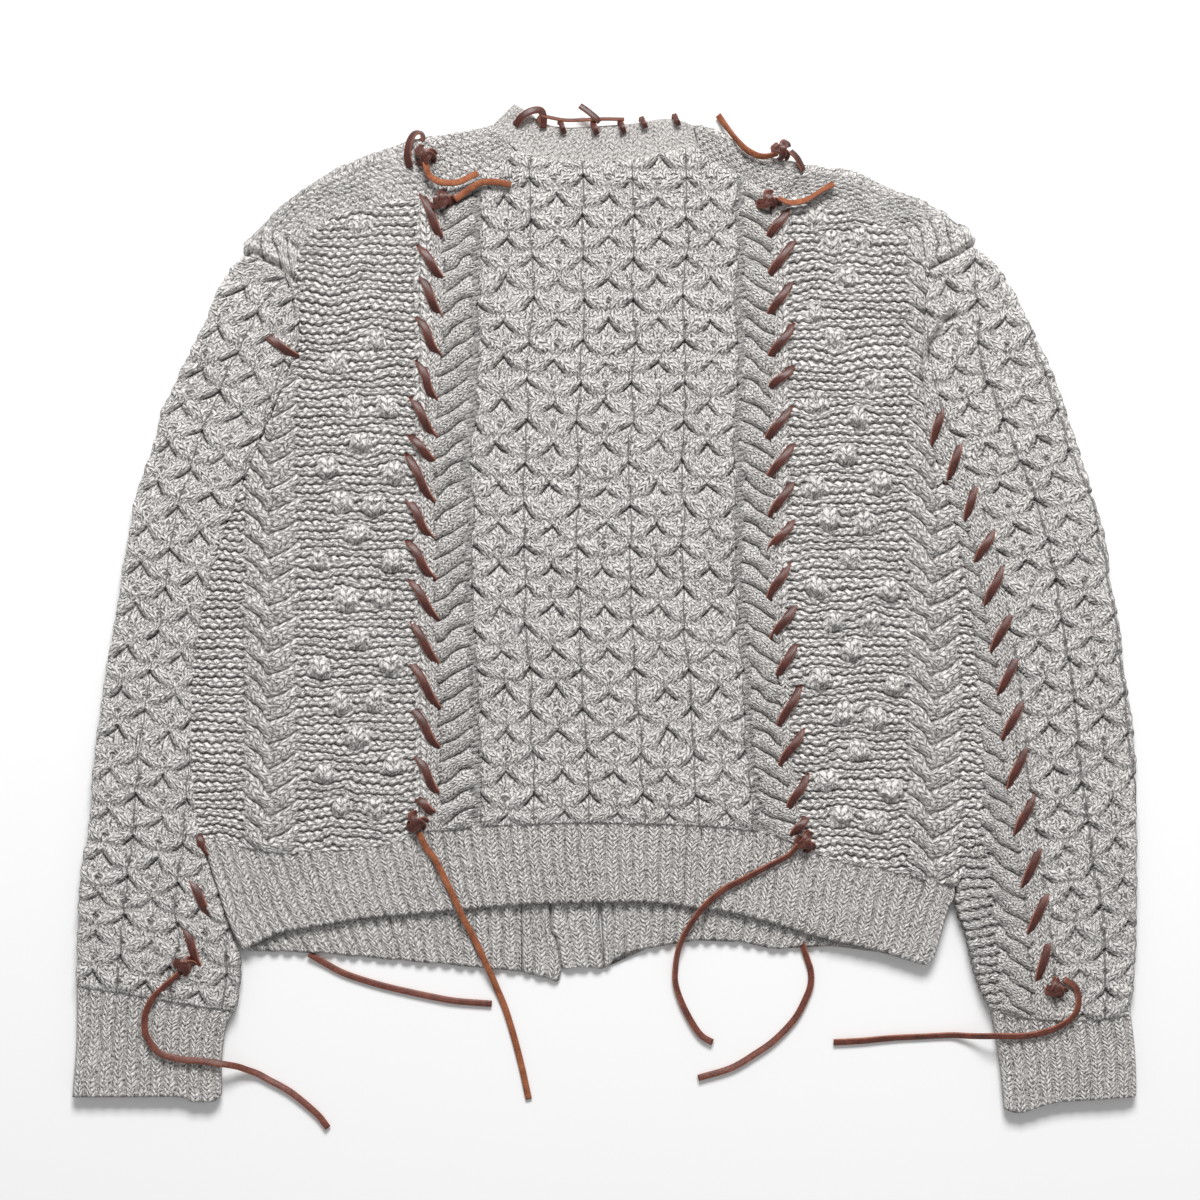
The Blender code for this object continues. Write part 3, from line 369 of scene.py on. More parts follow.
def smooth_line(points: Points, per_span: int = 8) -> Array:
    """Draw a smooth curve through points.

    Args:
        points: the points that it goes through.
        per_span: samples between two points.

    Returns:
        The samples, one to a row.
    """
    known = np.array(points, float)
    ends = np.vstack([2 * known[0] - known[1], known, 2 * known[-1] - known[-2]])
    t = np.linspace(0.0, 1.0, per_span, endpoint=False)[:, None]
    spans = [0.5 * (2 * b + (c - a) * t + (2 * a - 5 * b + 4 * c - d) * t ** 2
                    + (3 * b - a - 3 * c + d) * t ** 3)
             for a, b, c, d in zip(ends, ends[1:], ends[2:], ends[3:])]
    return np.vstack(spans + [known[-1:]])


def along(line: Array, fractions: Array) -> Array:
    """Find places on a line.

    Args:
        line: the line's points.
        fractions: shares of its length, from 0 to 1.

    Returns:
        The places, with the coordinates on the last axis.
    """
    steps = np.linalg.norm(np.diff(line, axis=0), axis=1)
    lengths = np.concatenate([[0.0], np.cumsum(steps)])
    wanted = np.asarray(fractions) * lengths[-1]
    return np.stack([np.interp(wanted, lengths, column) for column in line.T], axis=-1)


def length_of(line: Array) -> float:
    """Return the length of a drawn line."""
    return float(np.linalg.norm(np.diff(line, axis=0), axis=1).sum())


def line_at(line: Points, y: Array) -> Array:
    """Return x where a line that goes up the garment crosses each y."""
    drawn = smooth_line(line)
    order = np.argsort(drawn[:, 1])
    return np.interp(y, drawn[order, 1], drawn[order, 0])


def gap_to_line(x: Array, y: Array, line: Points) -> Array:
    """Measure how far places are from a line.

    Args:
        x, y: the places.
        line: the line's points, joined by straight pieces.

    Returns:
        The distances.
    """
    drawn = smooth_line(line, 3)
    nearest = np.full(x.shape, np.inf)
    for (ax, ay), (bx, by) in zip(drawn, drawn[1:]):
        run = (bx - ax, by - ay)
        share = ((x - ax) * run[0] + (y - ay) * run[1]) / (run[0] ** 2 + run[1] ** 2)
        share = share.clip(0.0, 1.0)
        nearest = np.minimum(nearest, np.hypot(x - ax - share * run[0], y - ay - share * run[1]))
    return nearest


def round_over(distance: Array, radius: float) -> Array:
    """Return the quarter round of an edge: 0 on it and 1 from radius inwards."""
    return np.sqrt(1 - (1 - (distance / max(radius, 1e-6)).clip(0.0, 1.0)) ** 2)


@dataclass(frozen=True)
class Unevenness:
    """Smooth seeded unevenness of hand knitting."""

    size: float
    seed: int

    def at(self, x: Array, y: Array) -> Array:
        """Read it.

        Args:
            x, y: places in millimetres.

        Returns:
            Values from about -1 to 1.
        """
        count = 96
        lattice = np.random.default_rng(self.seed).uniform(-1.0, 1.0, (count, count))
        gx = (x / self.size) % count
        gy = (y / self.size) % count
        ix, iy = gx.astype(int), gy.astype(int)
        fx, fy = gx - ix, gy - iy
        fx, fy = fx * fx * (3 - 2 * fx), fy * fy * (3 - 2 * fy)
        jx, jy = (ix + 1) % count, (iy + 1) % count
        ix, iy = ix % count, iy % count
        low = lattice[iy, ix] * (1 - fx) + lattice[iy, jx] * fx
        high = lattice[jy, ix] * (1 - fx) + lattice[jy, jx] * fx
        return low * (1 - fy) + high * fy


BROAD = Unevenness(size=55.0, seed=11)
HAND = Unevenness(size=23.0, seed=5)
HAND_ACROSS = Unevenness(size=27.0, seed=8)
TENSION = Unevenness(size=9.0, seed=3)
TENSION_ACROSS = Unevenness(size=8.0, seed=17)
STRAY = Unevenness(size=13.0, seed=29)
LUMPS = Unevenness(size=3.4, seed=21)


def cloth_lift(x: Array, y: Array) -> Array:
    """Sum the swells, the creases and the soft unevenness of the cloth.

    Args:
        x, y: places in millimetres.

    Returns:
        How much higher the cloth lies there.
    """
    lift = 0.45 * BROAD.at(x, y)
    for swell in SWELLS:
        reach = ((x - swell.x) / swell.wide) ** 2 + ((y - swell.y) / swell.long) ** 2
        lift = lift + swell.high * np.exp(-reach)
    for crease in CREASES:
        gap = gap_to_line(x, y, crease.line) / crease.wide
        uneven = 0.8 + 0.2 * HAND.at(x, y)
        lift = lift - crease.deep * uneven * np.exp(-gap ** 2)
        lift = lift + crease.roll * np.exp(-((gap - 2.6) / 1.3) ** 2)
    return lift


# ---------------------------------------------------------------- materials
def feed(node: Node, links: dict) -> None:
    """Set a node's inputs, each to a value or to the socket that feeds it.

    Args:
        node: the node.
        links: the value or the socket for each input, by its name or number.
    """
    for key, value in links.items():
        if isinstance(value, NodeSocket):
            node.id_data.links.new(value, node.inputs[key])
        else:
            node.inputs[key].default_value = value


def add(tree: NodeTree, kind: str, links: dict | None = None, **settings: object) -> Node:
    """Add a node with its settings and links.

    Args:
        tree: the node tree.
        kind: Blender's name of the node's type.
        links: for each input, by name or number, the socket that feeds it or its value.
        settings: the node's own properties.

    Returns:
        The node.
    """
    node = tree.nodes.new(kind)
    for name, value in settings.items():
        setattr(node, name, value)
    feed(node, links or {})
    return node


def new_material(name: str) -> tuple[Material, NodeTree, Node]:
    """Return a new material, its node tree and its shader."""
    made = bpy.data.materials.new(name)
    made.use_nodes = True
    return made, made.node_tree, made.node_tree.nodes["Principled BSDF"]


@dataclass(frozen=True)
class WoolYarn:
    """Thick woollen-spun marl yarn, hand knitted: two plies of pale and darker grey wool.

    The eye sees salt and pepper flecks about a millimetre across, soft rounded legs of each
    stitch with dark grooves between them, and no gloss, only a faint halo of loose fibre.
    The grooves between the legs and the crevices of the relief are darkened with painted
    shade in the colour, on top of the bump.
    """

    name: str
    pale: str = "E9E6E3"
    middle: str = "D6D3D0"
    dark: str = "827E7B"
    # Painted shade: the colour that the yarn is darkened towards between the legs and in the
    # crevices
    groove: str = "3E3936"
    marl: tuple[float, float, float] = (0.395, 0.465, 0.575)  # where each grey sets in
    halo: str = "E6E2DE"  # colour of the loose fibre
    stitch_relief: float = 1.5  # millimetres from groove to crest
    fleck: float = 1.5  # millimetres, as coarse as shows in the render
    strays: float = 280.0  # to a metre: the legs wander every 3.6 mm
    patches: float = 60.0  # to a metre: the marl is paler and darker by turns every 17 mm
    plies: float = 7.5  # streaks side by side on a stitch, coarser than the real plies
    streaks: float = 2.6  # streaks to a row of stitches, lengthwise
    slant: float = 0.75  # rows that a leg climbs from the middle of its stitch to the side
    columns: float = 1.0  # stitches side by side on one strand of the chart
    rows: float = 1.0  # rows to one row of the chart
    width: float = 1.0  # share of a column that the stitch covers
    gaps: float = 0.85  # strength of the painted shade between the legs and rows of the stitches
    crevice_shade_strength: float = 0.8  # strength of the painted shade in the crevices of the relief

    def build(self) -> Material:
        """Return the material, which reads the UV map "stitch"."""
        made, tree, shader = new_material(self.name)

        def worked(operation: str, *values: object) -> NodeSocket:
            """Return one operation's result on one to three values."""
            return add(tree, "ShaderNodeMath", dict(enumerate(values)),
                       operation=operation).outputs[0]

        chart = add(tree, "ShaderNodeUVMap", uv_map="stitch")
        parts = add(tree, "ShaderNodeSeparateXYZ", {0: chart.outputs[0]})
        place = add(tree, "ShaderNodeTexCoord").outputs["Object"]
        wobble = add(tree, "ShaderNodeTexNoise", {
            "Vector": place, "Scale": self.strays, "Detail": 1.0})
        shake = worked("MULTIPLY_ADD", wobble.outputs[0], 0.4, -0.2)
        stray = worked("MULTIPLY", shake, 0.3)
        aside = worked("MULTIPLY_ADD", parts.outputs[0], self.columns, stray)
        aside = worked("SUBTRACT", worked("FRACT", aside), 0.5)
        leg = worked("MULTIPLY", worked("ABSOLUTE", aside), 2.0 / self.width)
        leg = worked("MINIMUM", leg, 1.0)
        down = worked("MULTIPLY_ADD", parts.outputs[1], self.rows, shake)
        climb = worked("MULTIPLY_ADD", leg, self.slant, down)
        crest = worked("SINE", worked("MULTIPLY", worked("FRACT", climb), PI))
        limb = worked("SINE", worked("MULTIPLY", leg, PI))
        body = worked("MULTIPLY", worked("POWER", crest, 0.4),
                      worked("MULTIPLY_ADD", worked("POWER", limb, 0.5), 0.65, 0.35))

        lie = add(tree, "ShaderNodeCombineXYZ", {
            0: worked("MULTIPLY", parts.outputs[0], self.plies),
            1: worked("MULTIPLY", climb, self.streaks)})
        plies = add(tree, "ShaderNodeTexNoise", {
            "Vector": lie.outputs[0], "Scale": 1.0, "Detail": 1.0, "Roughness": 0.6})
        flecks = add(tree, "ShaderNodeTexNoise", {
            "Vector": place, "Scale": 1000.0 / self.fleck, "Detail": 1.0, "Roughness": 0.6})
        patchy = add(tree, "ShaderNodeTexNoise", {
            "Vector": place, "Scale": self.patches, "Detail": 3.0})
        grain = worked("MULTIPLY_ADD", plies.outputs[0], 0.6,
                       worked("MULTIPLY", flecks.outputs[0], 0.4))
        mixed = worked("ADD", grain, worked("MULTIPLY_ADD", patchy.outputs[0], 0.10, -0.05))
        ramp = add(tree, "ShaderNodeValToRGB", {0: mixed})
        stops = ramp.color_ramp.elements
        stops[0].position, stops[0].color = self.marl[0], linear(self.dark)
        stops[1].position, stops[1].color = self.marl[2], linear(self.pale)
        stops.new(self.marl[1]).color = linear(self.middle)
        # Painted shade: the colour is darkened towards the groove colour between the legs and rows
        # of each stitch, and in the crevices of the relief that the attribute "hollow" holds
        hollow = add(tree, "ShaderNodeAttribute", attribute_name="hollow").outputs["Fac"]
        between = worked("MULTIPLY", worked("SUBTRACT", 1.0, body), self.gaps)
        depth = worked("MAXIMUM", between, worked("MULTIPLY", hollow, self.crevice_shade_strength))
        shade = add(tree, "ShaderNodeMix", {
            "Factor": depth, 6: ramp.outputs[0], 7: linear(self.groove)}, data_type="RGBA")

        relief = worked("MULTIPLY_ADD", body, 0.85, worked("MULTIPLY", plies.outputs[0], 0.95))
        relief = worked("ADD", relief, worked("MULTIPLY", flecks.outputs[0], 0.65))
        bump = add(tree, "ShaderNodeBump", {
            "Height": relief, "Strength": 1.0, "Distance": self.stitch_relief * MM})
        feed(shader, {
            "Base Color": shade.outputs[2], "Normal": bump.outputs[0], "Roughness": 0.93,
            "IOR": 1.54, "Specular IOR Level": 0.18, "Sheen Weight": 0.22,
            "Sheen Roughness": 0.45, "Sheen Tint": linear(self.halo)})
        return made


@dataclass(frozen=True)
class LaceLeather:
    """Vegetable-tanned moccasin lace, one face of it.

    The grain face is dyed deep oxblood brown and waxed, so it shines softly and shows fine
    lengthwise creases. The flesh face and the cut edges are tan and matt, with short nap.
    """

    name: str
    deep: str
    light: str
    roughness: float
    crease: float  # millimetres of relief
    grain: float = 1.1  # millimetres between creases
    wear: float = 120.0  # patches of wear to a metre, every 8 mm

    def build(self) -> Material:
        """Return the material, built."""
        made, tree, shader = new_material(self.name)
        place = add(tree, "ShaderNodeTexCoord").outputs["Object"]
        worn = add(tree, "ShaderNodeTexNoise", {
            "Vector": place, "Scale": self.wear, "Detail": 4.0})
        fine = add(tree, "ShaderNodeTexNoise", {
            "Vector": place, "Scale": 1000.0 / self.grain, "Detail": 4.0, "Roughness": 0.6})
        both = add(tree, "ShaderNodeMath", {0: worn.outputs[0], 1: 0.55, 2: fine.outputs[0]},
                   operation="MULTIPLY_ADD")
        ramp = add(tree, "ShaderNodeValToRGB", {0: both.outputs[0]})
        stops = ramp.color_ramp.elements
        stops[0].position, stops[0].color = 0.55, linear(self.deep)
        stops[1].position, stops[1].color = 1.0, linear(self.light)
        bump = add(tree, "ShaderNodeBump", {
            "Height": fine.outputs[0], "Strength": 0.8, "Distance": self.crease * MM})
        feed(shader, {"Base Color": ramp.outputs[0], "Normal": bump.outputs[0],
                      "Roughness": self.roughness, "IOR": 1.5})
        return made


@dataclass(frozen=True)
class PaperSweep:
    """Matt white background paper, which the eye reads as one even pale field."""

    name: str = "matt_background_paper"
    colour: str = "F4F4F4"

    def build(self) -> Material:
        """Return the material, built."""
        made, _, shader = new_material(self.name)
        feed(shader, {"Base Color": linear(self.colour), "Roughness": 1.0,
                      "Specular IOR Level": 0.0})
        return made


class Finishes:
    """Every finish, built once."""

    def __init__(self) -> None:
        """Build the materials."""
        self.cable = WoolYarn("grey_marl_wool_cable_knit", columns=2.0, rows=1.64,
                              streaks=1.6, slant=0.8, gaps=0.6).build()
        self.bobble = WoolYarn("grey_marl_wool_bobble_knit", pale="F3F0ED", middle="DEDBD8",
                               plies=6.8, gaps=0.85, crevice_shade_strength=0.68).build()
        self.rib = WoolYarn("grey_marl_wool_rib_knit", streaks=1.5, slant=1.05, width=0.72,
                            gaps=0.55).build()
        # Painted light: a paler copy of the same yarn, which makes the shoulder strips look more
        # brightly lit
        self.shoulder = WoolYarn("grey_marl_wool_shoulder_knit_painted_lighter", pale="F8F5F2", middle="E8E5E2",
                                 dark="75716E", gaps=0.45).build()
        self.neck = WoolYarn("grey_marl_wool_neck_rib", pale="CFCCC9", middle="B9B6B3",
                             dark="7F7B78", stitch_relief=0.9, plies=5.5, gaps=0.35).build()
        self.grain = LaceLeather("lace_grain_face", "280E0B", "64332A", 0.42, 0.2).build()
        # The free ends are handled most, and are lighter and duller
        self.worn = LaceLeather("lace_grain_face_worn", "3A1711", "834736", 0.5, 0.2).build()
        self.flesh = LaceLeather("lace_flesh_face", "612A18", "AD6B45", 0.88, 0.3,
                                 grain=0.9).build()
        self.edge = LaceLeather("lace_cut_edge", "6A3524", "A8705A", 0.8, 0.15, grain=0.7).build()

# ---------------------------------------------------------------- stitch patterns
@dataclass(frozen=True)
class Chart:
    """A stitch pattern read at places: relief, strand, and the place within the stitches."""

    height: Array  # millimetres above the ground of the cloth
    strand: Array  # number of the strand or bobble that shows there
    across: Array  # stitches across the strand
    rows: Array  # rows down the strand


class Lean(Enum):
    """Which way the strands of a rope slope, seen from the right side."""

    UP_TO_THE_RIGHT = 1.0
    UP_TO_THE_LEFT = -1.0


def legs(across: Array, rows: Array, slant: float = 0.75) -> Array:
    """Return the relief of knit stitches: two slanting legs to each, from 0 to 1.

    Args:
        across: stitches across.
        rows: rows down.
        slant: rows that a leg climbs from the middle of its stitch to the side.

    Returns:
        The relief.
    """
    leg = np.abs(across - np.floor(across) - 0.5) * 2
    climb = rows + slant * leg
    return np.sin(PI * (climb - np.floor(climb))) ** 0.5 * np.sin(PI * leg) ** 0.5


@dataclass(frozen=True)
class Honeycomb:
    """Honeycomb cable: thick strands run down side by side and swap places in pairs.

    They lie close, so that they hide the ground. The strand in front slopes over the one
    behind, which dives under it, and its lower edge makes a short dark crevice.
    """

    start: float = 0.0  # where its first repeat starts across the piece
    first_row: float = 0.0  # where a repeat starts down the piece
    level: float = 3.5  # crest of a strand between crossings
    climb: float = 1.5  # how much higher it lies where it crosses in front
    sink: float = 1.9  # how much lower it lies where it dives under the one in front
    groove: float = 0.6  # depth of the groove between two strands
    notch: float = 2.2  # depth of the crevice under the strand in front
    relief: float = 0.5  # of the stitches on a strand
    haste: float = 1.28  # how much quicker than an even zigzag the strands cross
    half: float = 1.04 * YARN

    def chart(self, s: Array, t: Array, strand: Array | None = None) -> Chart:
        """Read the pattern.

        Args:
            s, t: millimetres across and down the piece.
            strand: the strands to follow, or none to take the highest.

        Returns:
            The chart.
        """
        s = s + 1.0 * STRAY.at(t, s)
        t = t + 1.5 * STRAY.at(s + 40.0, t)
        repeat = np.floor((s - self.start) / HONEYCOMB_WIDE)
        x = (s - self.start - repeat * HONEYCOMB_WIDE) / YARN
        phase = (4 * (t - self.first_row) / HONEYCOMB_TALL + 1) % 4
        triangle = np.where(phase < 2, phase - 1, 3 - phase)
        run = (self.haste * triangle).clip(-1.0, 1.0)
        swing = run * (1.12 - 0.12 * run ** 2)
        slope = (1.12 - 0.36 * run ** 2) * self.haste * 4 / HONEYCOMB_TALL * YARN
        slope = np.where(np.abs(run) < 1.0, slope, 0.0)
        falling = np.where(phase < 2, 1.0, -1.0)
        lean = 1 / np.sqrt(1 + slope ** 2)
        crossing = (1 - swing ** 4).clip(0.0)
        uneven = STRAY.at(s, t)
        gaps, heights, turned, crevice = [], [], [], np.zeros(s.shape)
        unders = {}
        for middle, way, front in ((2, 1, True), (6, -1, True), (2, -1, False), (6, 1, False)):
            gap = (x - (middle + way * swing)) * YARN * lean / self.half
            gaps.append(gap)
            turned.append(gap * self.half * way * falling * slope * lean / ROW)
            crown = (1 - np.abs(gap) ** 2.4).clip(0.0) ** 0.5
            if front:
                # Its upper edge rests on the strand behind, its lower edge stands clear of it
                under = -gap * way * falling
                unders[middle] = under
                below = ((under + 0.4) / 0.8).clip(0.0, 1.0)
                crest = self.level + (self.climb + 0.6 * uneven) * crossing ** 0.7
                edge = self.level - self.groove + (0.5 - 2.5 * below) * crossing
                thin = np.exp(-((under - 1.05) / 0.15) ** 2)
                strong = (1 + 1.1 * STRAY.at(s * 1.4 + 9.0 * way, t * 1.4)).clip(0.15, 1.5)
                crevice = np.maximum(crevice, crossing * strong * thin)
            else:
                under = unders[middle]
                near = np.exp(-((under - 1.0).clip(0.0) / 0.5) ** 2) * (under > 0.0)
                dive = self.sink * (0.1 + 0.9 * near) - 0.6 * uneven
                crest = self.level - dive * crossing ** 0.8
                edge = crest - self.groove * (1 - 0.7 * crossing)
            heights.append(np.where(np.abs(gap) < 1.0, edge + (crest - edge) * crown, -3.0))
        heights = np.stack(heights)
        picked = np.argmax(heights, axis=0)
        height = np.max(heights, axis=0).clip(self.level - self.groove - 0.6)
        height = height - self.notch * crevice
        if strand is not None:
            picked = strand % 4
        gap = np.take_along_axis(np.stack(gaps), picked[None], axis=0)[0]
        across = 0.5 * (0.88 * gap + 1.0)
        rows = t / ROW + np.take_along_axis(np.stack(turned), picked[None], axis=0)[0]
        height = height + self.relief * legs(across, rows)
        return Chart(height, picked + 4 * (repeat.astype(int) + 50), across, rows)


@dataclass(frozen=True)
class Rope:
    """One column of a rope cable: fat slanted strands that lie on each other."""

    middle: float
    half: float
    pitch: float  # millimetres from strand to strand, down the column
    steep: float  # rise over run of a strand
    lean: Lean
    first_row: float = 0.0
    rise: float = 5.9
    fine: bool = True  # a strand is three stitches wide, or else two halves of broad ones

    def chart(self, s: Array, t: Array, strand: Array | None = None) -> Chart:
        """Read the pattern.

        Args:
            s, t: millimetres across and down the piece.
            strand: the strands to follow, or none to take the one that shows.

        Returns:
            The chart.
        """
        side = (s - self.middle) / self.half
        inside = side.clip(-1.0, 1.0)
        bend = 1.25 * inside - 0.25 * inside ** 3
        climb = self.lean.value * self.steep * self.half * bend
        phase = (t - self.first_row + climb) / self.pitch
        number = np.floor(phase).astype(int)
        if strand is not None:
            number = strand - 1000
        within = 2 * (phase - number) - 1
        # A strand is highest above its middle, where it lies on the next one down
        lopsided = (within + 0.22 * (1 - within ** 2)).clip(-1.0, 1.0)
        plump = (1 - lopsided ** 2).clip(0.0) ** 0.5
        edge = (1 - np.abs(inside) ** 3.2).clip(0.0) ** 0.6
        height = self.rise * (0.5 + 0.5 * edge) * (0.2 + 0.8 * plump) - 0.4
        run = 1 / math.hypot(1.0, self.steep)
        length = -self.lean.value * (s - self.middle) * run + t * self.steep * run
        height = height - 1.0 * np.exp(-((1 - np.abs(within)) / 0.14) ** 2)
        height = height + (0.2 if self.fine else 0.6) * edge * legs(within, length / ROW)
        across = 0.75 * within + 0.25 if self.fine else within
        return Chart(height, number + 1000, across, length / ROW)


@dataclass(frozen=True)
class Garter:
    """Garter ground: level ridges of interlocking loops."""

    ridge: float = GARTER_RIDGE
    rise: float = 4.4

    def chart(self, s: Array, t: Array) -> Chart:
        """Read the pattern.

        Args:
            s, t: millimetres across and down the piece.

        Returns:
            The chart.
        """
        down = t + 2.3 * HAND.at(s * 1.1, t * 0.7) + 1.1 * TENSION.at(s, t)
        beads = (s + 1.2 * TENSION_ACROSS.at(s, t)) / BEAD
        wave = np.cos(2 * PI * beads) * np.cos(2 * PI * down / self.ridge)
        within = down / self.ridge + 0.11 * wave + 0.05 * LUMPS.at(s, t)
        half_row = np.floor(2 * within)
        step = 2 * within - half_row
        ridge = within - np.floor(within)
        loops = 0.5 + 0.5 * np.cos(2 * PI * (beads + 0.5 * half_row))
        # Each loop bulges gently at its top and drops sharply at its foot
        bead = np.sin(PI * step ** 1.3) ** 0.8 * (0.88 + 0.12 * loops)
        tile = np.sin(PI * ridge ** 1.4) ** 0.7
        height = self.rise * (0.4 * bead + 0.6 * tile) - 0.9
        number = half_row.astype(int) + 1000
        return Chart(height, number, within, beads + 0.5 * half_row)


@dataclass(frozen=True)
class Ribbing:
    """One-by-one rib: a column of knit stitches, then a deep gutter."""

    pitch: float = RIB_PITCH
    row: float = RIB_ROW
    rise: float = 2.5

    def chart(self, s: Array, t: Array) -> Chart:
        """Read the pattern.

        Args:
            s, t: millimetres across and down the ribs.

        Returns:
            The chart.
        """
        across = (s + 0.5 * HAND_ACROSS.at(s * 0.6, t)) / self.pitch
        column = np.abs(np.sin(PI * across))
        rows = (t + 0.8 * TENSION.at(s, t)) / self.row
        height = self.rise * (0.75 * column ** 0.6 + 0.25 * legs(across, rows, 1.5)) - 0.3
        return Chart(height, np.zeros(s.shape, int), across, rows)


@dataclass(frozen=True)
class Ladder:
    """A sunk column of purl stitches, whose loops lie across it like rungs."""

    depth: float = -0.3
    rise: float = 2.6
    pitch: float = 3.6  # millimetres from rung to rung

    def chart(self, s: Array, t: Array) -> Chart:
        """Read the pattern.

        Args:
            s, t: millimetres across and down the piece.

        Returns:
            The chart.
        """
        down = (t + 0.35 * s + 0.8 * TENSION.at(s, t)) / self.pitch
        rung = np.abs(np.sin(PI * down))
        height = self.rise * rung ** 0.6 - self.depth
        return Chart(height, np.zeros(s.shape, int), down, s / STITCH)


@dataclass(frozen=True)
class Moss:
    """Moss stitch: a staggered field of small beads."""

    wide: float = 5.6
    tall: float = 4.9
    rise: float = 2.6

    def chart(self, s: Array, t: Array) -> Chart:
        """Read the pattern.

        Args:
            s, t: millimetres across and down the piece.

        Returns:
            The chart.
        """
        s = s + 1.6 * HAND.at(s, t) + 0.8 * TENSION.at(s, t)
        t = t + 1.6 * HAND_ACROSS.at(s, t) + 0.8 * TENSION_ACROSS.at(s, t)
        row = np.floor(t / self.tall)
        shift = 0.5 * (row % 2)
        bead = np.abs(np.sin(PI * (s / self.wide + shift)))
        layer = np.abs(np.sin(PI * t / self.tall))
        height = self.rise * (bead * layer) ** 0.5
        return Chart(height, row.astype(int) + 1000, s / self.wide + shift, t / self.tall)


@dataclass(frozen=True)
class Stocking:
    """Plain knit columns, as beside a seam."""

    pitch: float = STITCH
    rise: float = 1.3

    def chart(self, s: Array, t: Array) -> Chart:
        """Read the pattern.

        Args:
            s, t: millimetres across and down the piece.

        Returns:
            The chart.
        """
        across = s / self.pitch
        height = 1.9 + self.rise * np.abs(np.sin(PI * across)) ** 0.6
        height = height + 0.6 * self.rise * legs(across, t / ROW)
        return Chart(height, np.zeros(s.shape, int), across, t / ROW)


Pattern = Honeycomb | Rope | Garter | Ribbing | Ladder | Moss | Stocking
BOBBLE_STRAND = 100000  # number of the first bobble, past those of all strands
FAR_SIDE = 900.0  # past the far side of every piece


@dataclass(frozen=True)
class KnitPlan:
    """Stitch patterns side by side, with the bobbles that stand on them."""

    bands: tuple[tuple[float, Pattern], ...]  # where each band ends across the piece
    bobbles: tuple[tuple[float, float], ...] = ()
    bobble_radius: float = 8.2
    bobble_rise: float = 7.0
    flat_above: float = 140.0  # the bobbles higher up the garment are pressed flatter
    pressed: float = 0.66  # share of its rise that a flatter one keeps
    lumpy: float = 2.6  # how unevenly a bobble bulges
    drawn: float = 0.42  # how much a bobble draws in the rows round it
    sway: float = 1.5  # how far the bands wander beside the ropes
    sway_start: float = 6.7
    ditch: float = 0.3  # depth of the line between two bands

    def read(self, s: Array, t: Array, band: Array | None = None,
             strand: Array | None = None) -> tuple[Chart, Array]:
        """Read the plan.

        Args:
            s, t: millimetres across and down the piece.
            band: the bands to follow, or none to take the ones that lie there.
            strand: the strands to follow in them.

        Returns:
            The chart, and the number of each place's band.
        """
        ends = np.array([end for end, _ in self.bands])
        drift = -self.sway * np.cos(2 * PI * (t - self.sway_start) / SIDE_ROPE_PITCH)
        if band is None:
            band = np.searchsorted(ends[:-1], s + drift + 0.8 * TENSION.at(s, t))
        lie = t
        for x, down in self.bobbles:
            away = ((s - x) ** 2 + (t - down) ** 2) / (1.25 * self.bobble_radius) ** 2
            lie = lie - self.drawn * (t - down) * np.exp(-away ** 1.5)
        height = np.zeros(s.shape)
        number = np.zeros(s.shape, int)
        across = np.zeros(s.shape)
        rows = np.zeros(s.shape)
        for index, (_, pattern) in enumerate(self.bands):
            mask = band == index
            if not mask.any():
                continue
            winding = drift[mask] if isinstance(pattern, Rope) else 0.0
            places = [s[mask] + winding, lie[mask]]
            if strand is not None and isinstance(pattern, Honeycomb | Rope):
                places.append(strand[mask])
            part = pattern.chart(*places)
            height[mask] = part.height
            number[mask] = part.strand
            across[mask] = part.across
            rows[mask] = part.rows
        for end in ends[:-1]:
            height -= self.ditch * np.exp(-((s + drift - end) / 1.5) ** 2)
        for index, (x, down) in enumerate(self.bobbles):
            gap = np.hypot(s - x, (t - down) * 1.06) / self.bobble_radius
            gap = gap * (1 + 0.24 * TENSION.at(s + 3 * index, t))
            near = gap < 1.0
            rise = self.bobble_rise * (self.pressed if -down > self.flat_above else 1.0)
            ball = -0.6 + rise * np.sqrt((1 - gap ** 2).clip(0.0)) ** 0.9
            ball = ball + self.lumpy * LUMPS.at(s, t + 5.0 * index) * (1 - gap ** 2).clip(0.0)
            height = np.where(near & (ball > height), ball, height)
            foot = 0.5 + 0.5 * ((t - down) / self.bobble_radius).clip(-1.0, 1.0)
            height = height - 0.7 * foot * np.exp(-((gap - 1.08) / 0.12) ** 2)
            shows = near if strand is None else strand == BOBBLE_STRAND + index
            number = np.where(shows, BOBBLE_STRAND + index, number)
            across = np.where(shows, (s - x) / STITCH + 0.5, across)
            rows = np.where(shows, (t - down) / ROW, rows)
        return Chart(height, number, across, rows), band


def all_over(pattern: Pattern) -> KnitPlan:
    """Return the plan of a piece with one pattern all over."""
    return KnitPlan(((FAR_SIDE, pattern),))


# ---------------------------------------------------------------- cloth
SET_IN = 1.0  # how far in from a piece's side edges its underside ends
SET_IN_TUBE = 2.2
BULGE_SIDE = 5.0  # how far in from a side edge the relief pushes the cloth out
BULGE_END = 4.0  # the same from the lower and the upper edge
BULGE_STEPS = 12  # points each way that the relief is compared with for that
CREVICE_NEAR = 2.2  # surroundings that a crevice is compared with, each way, for the painted shade
CREVICE_WIDE = 5.5


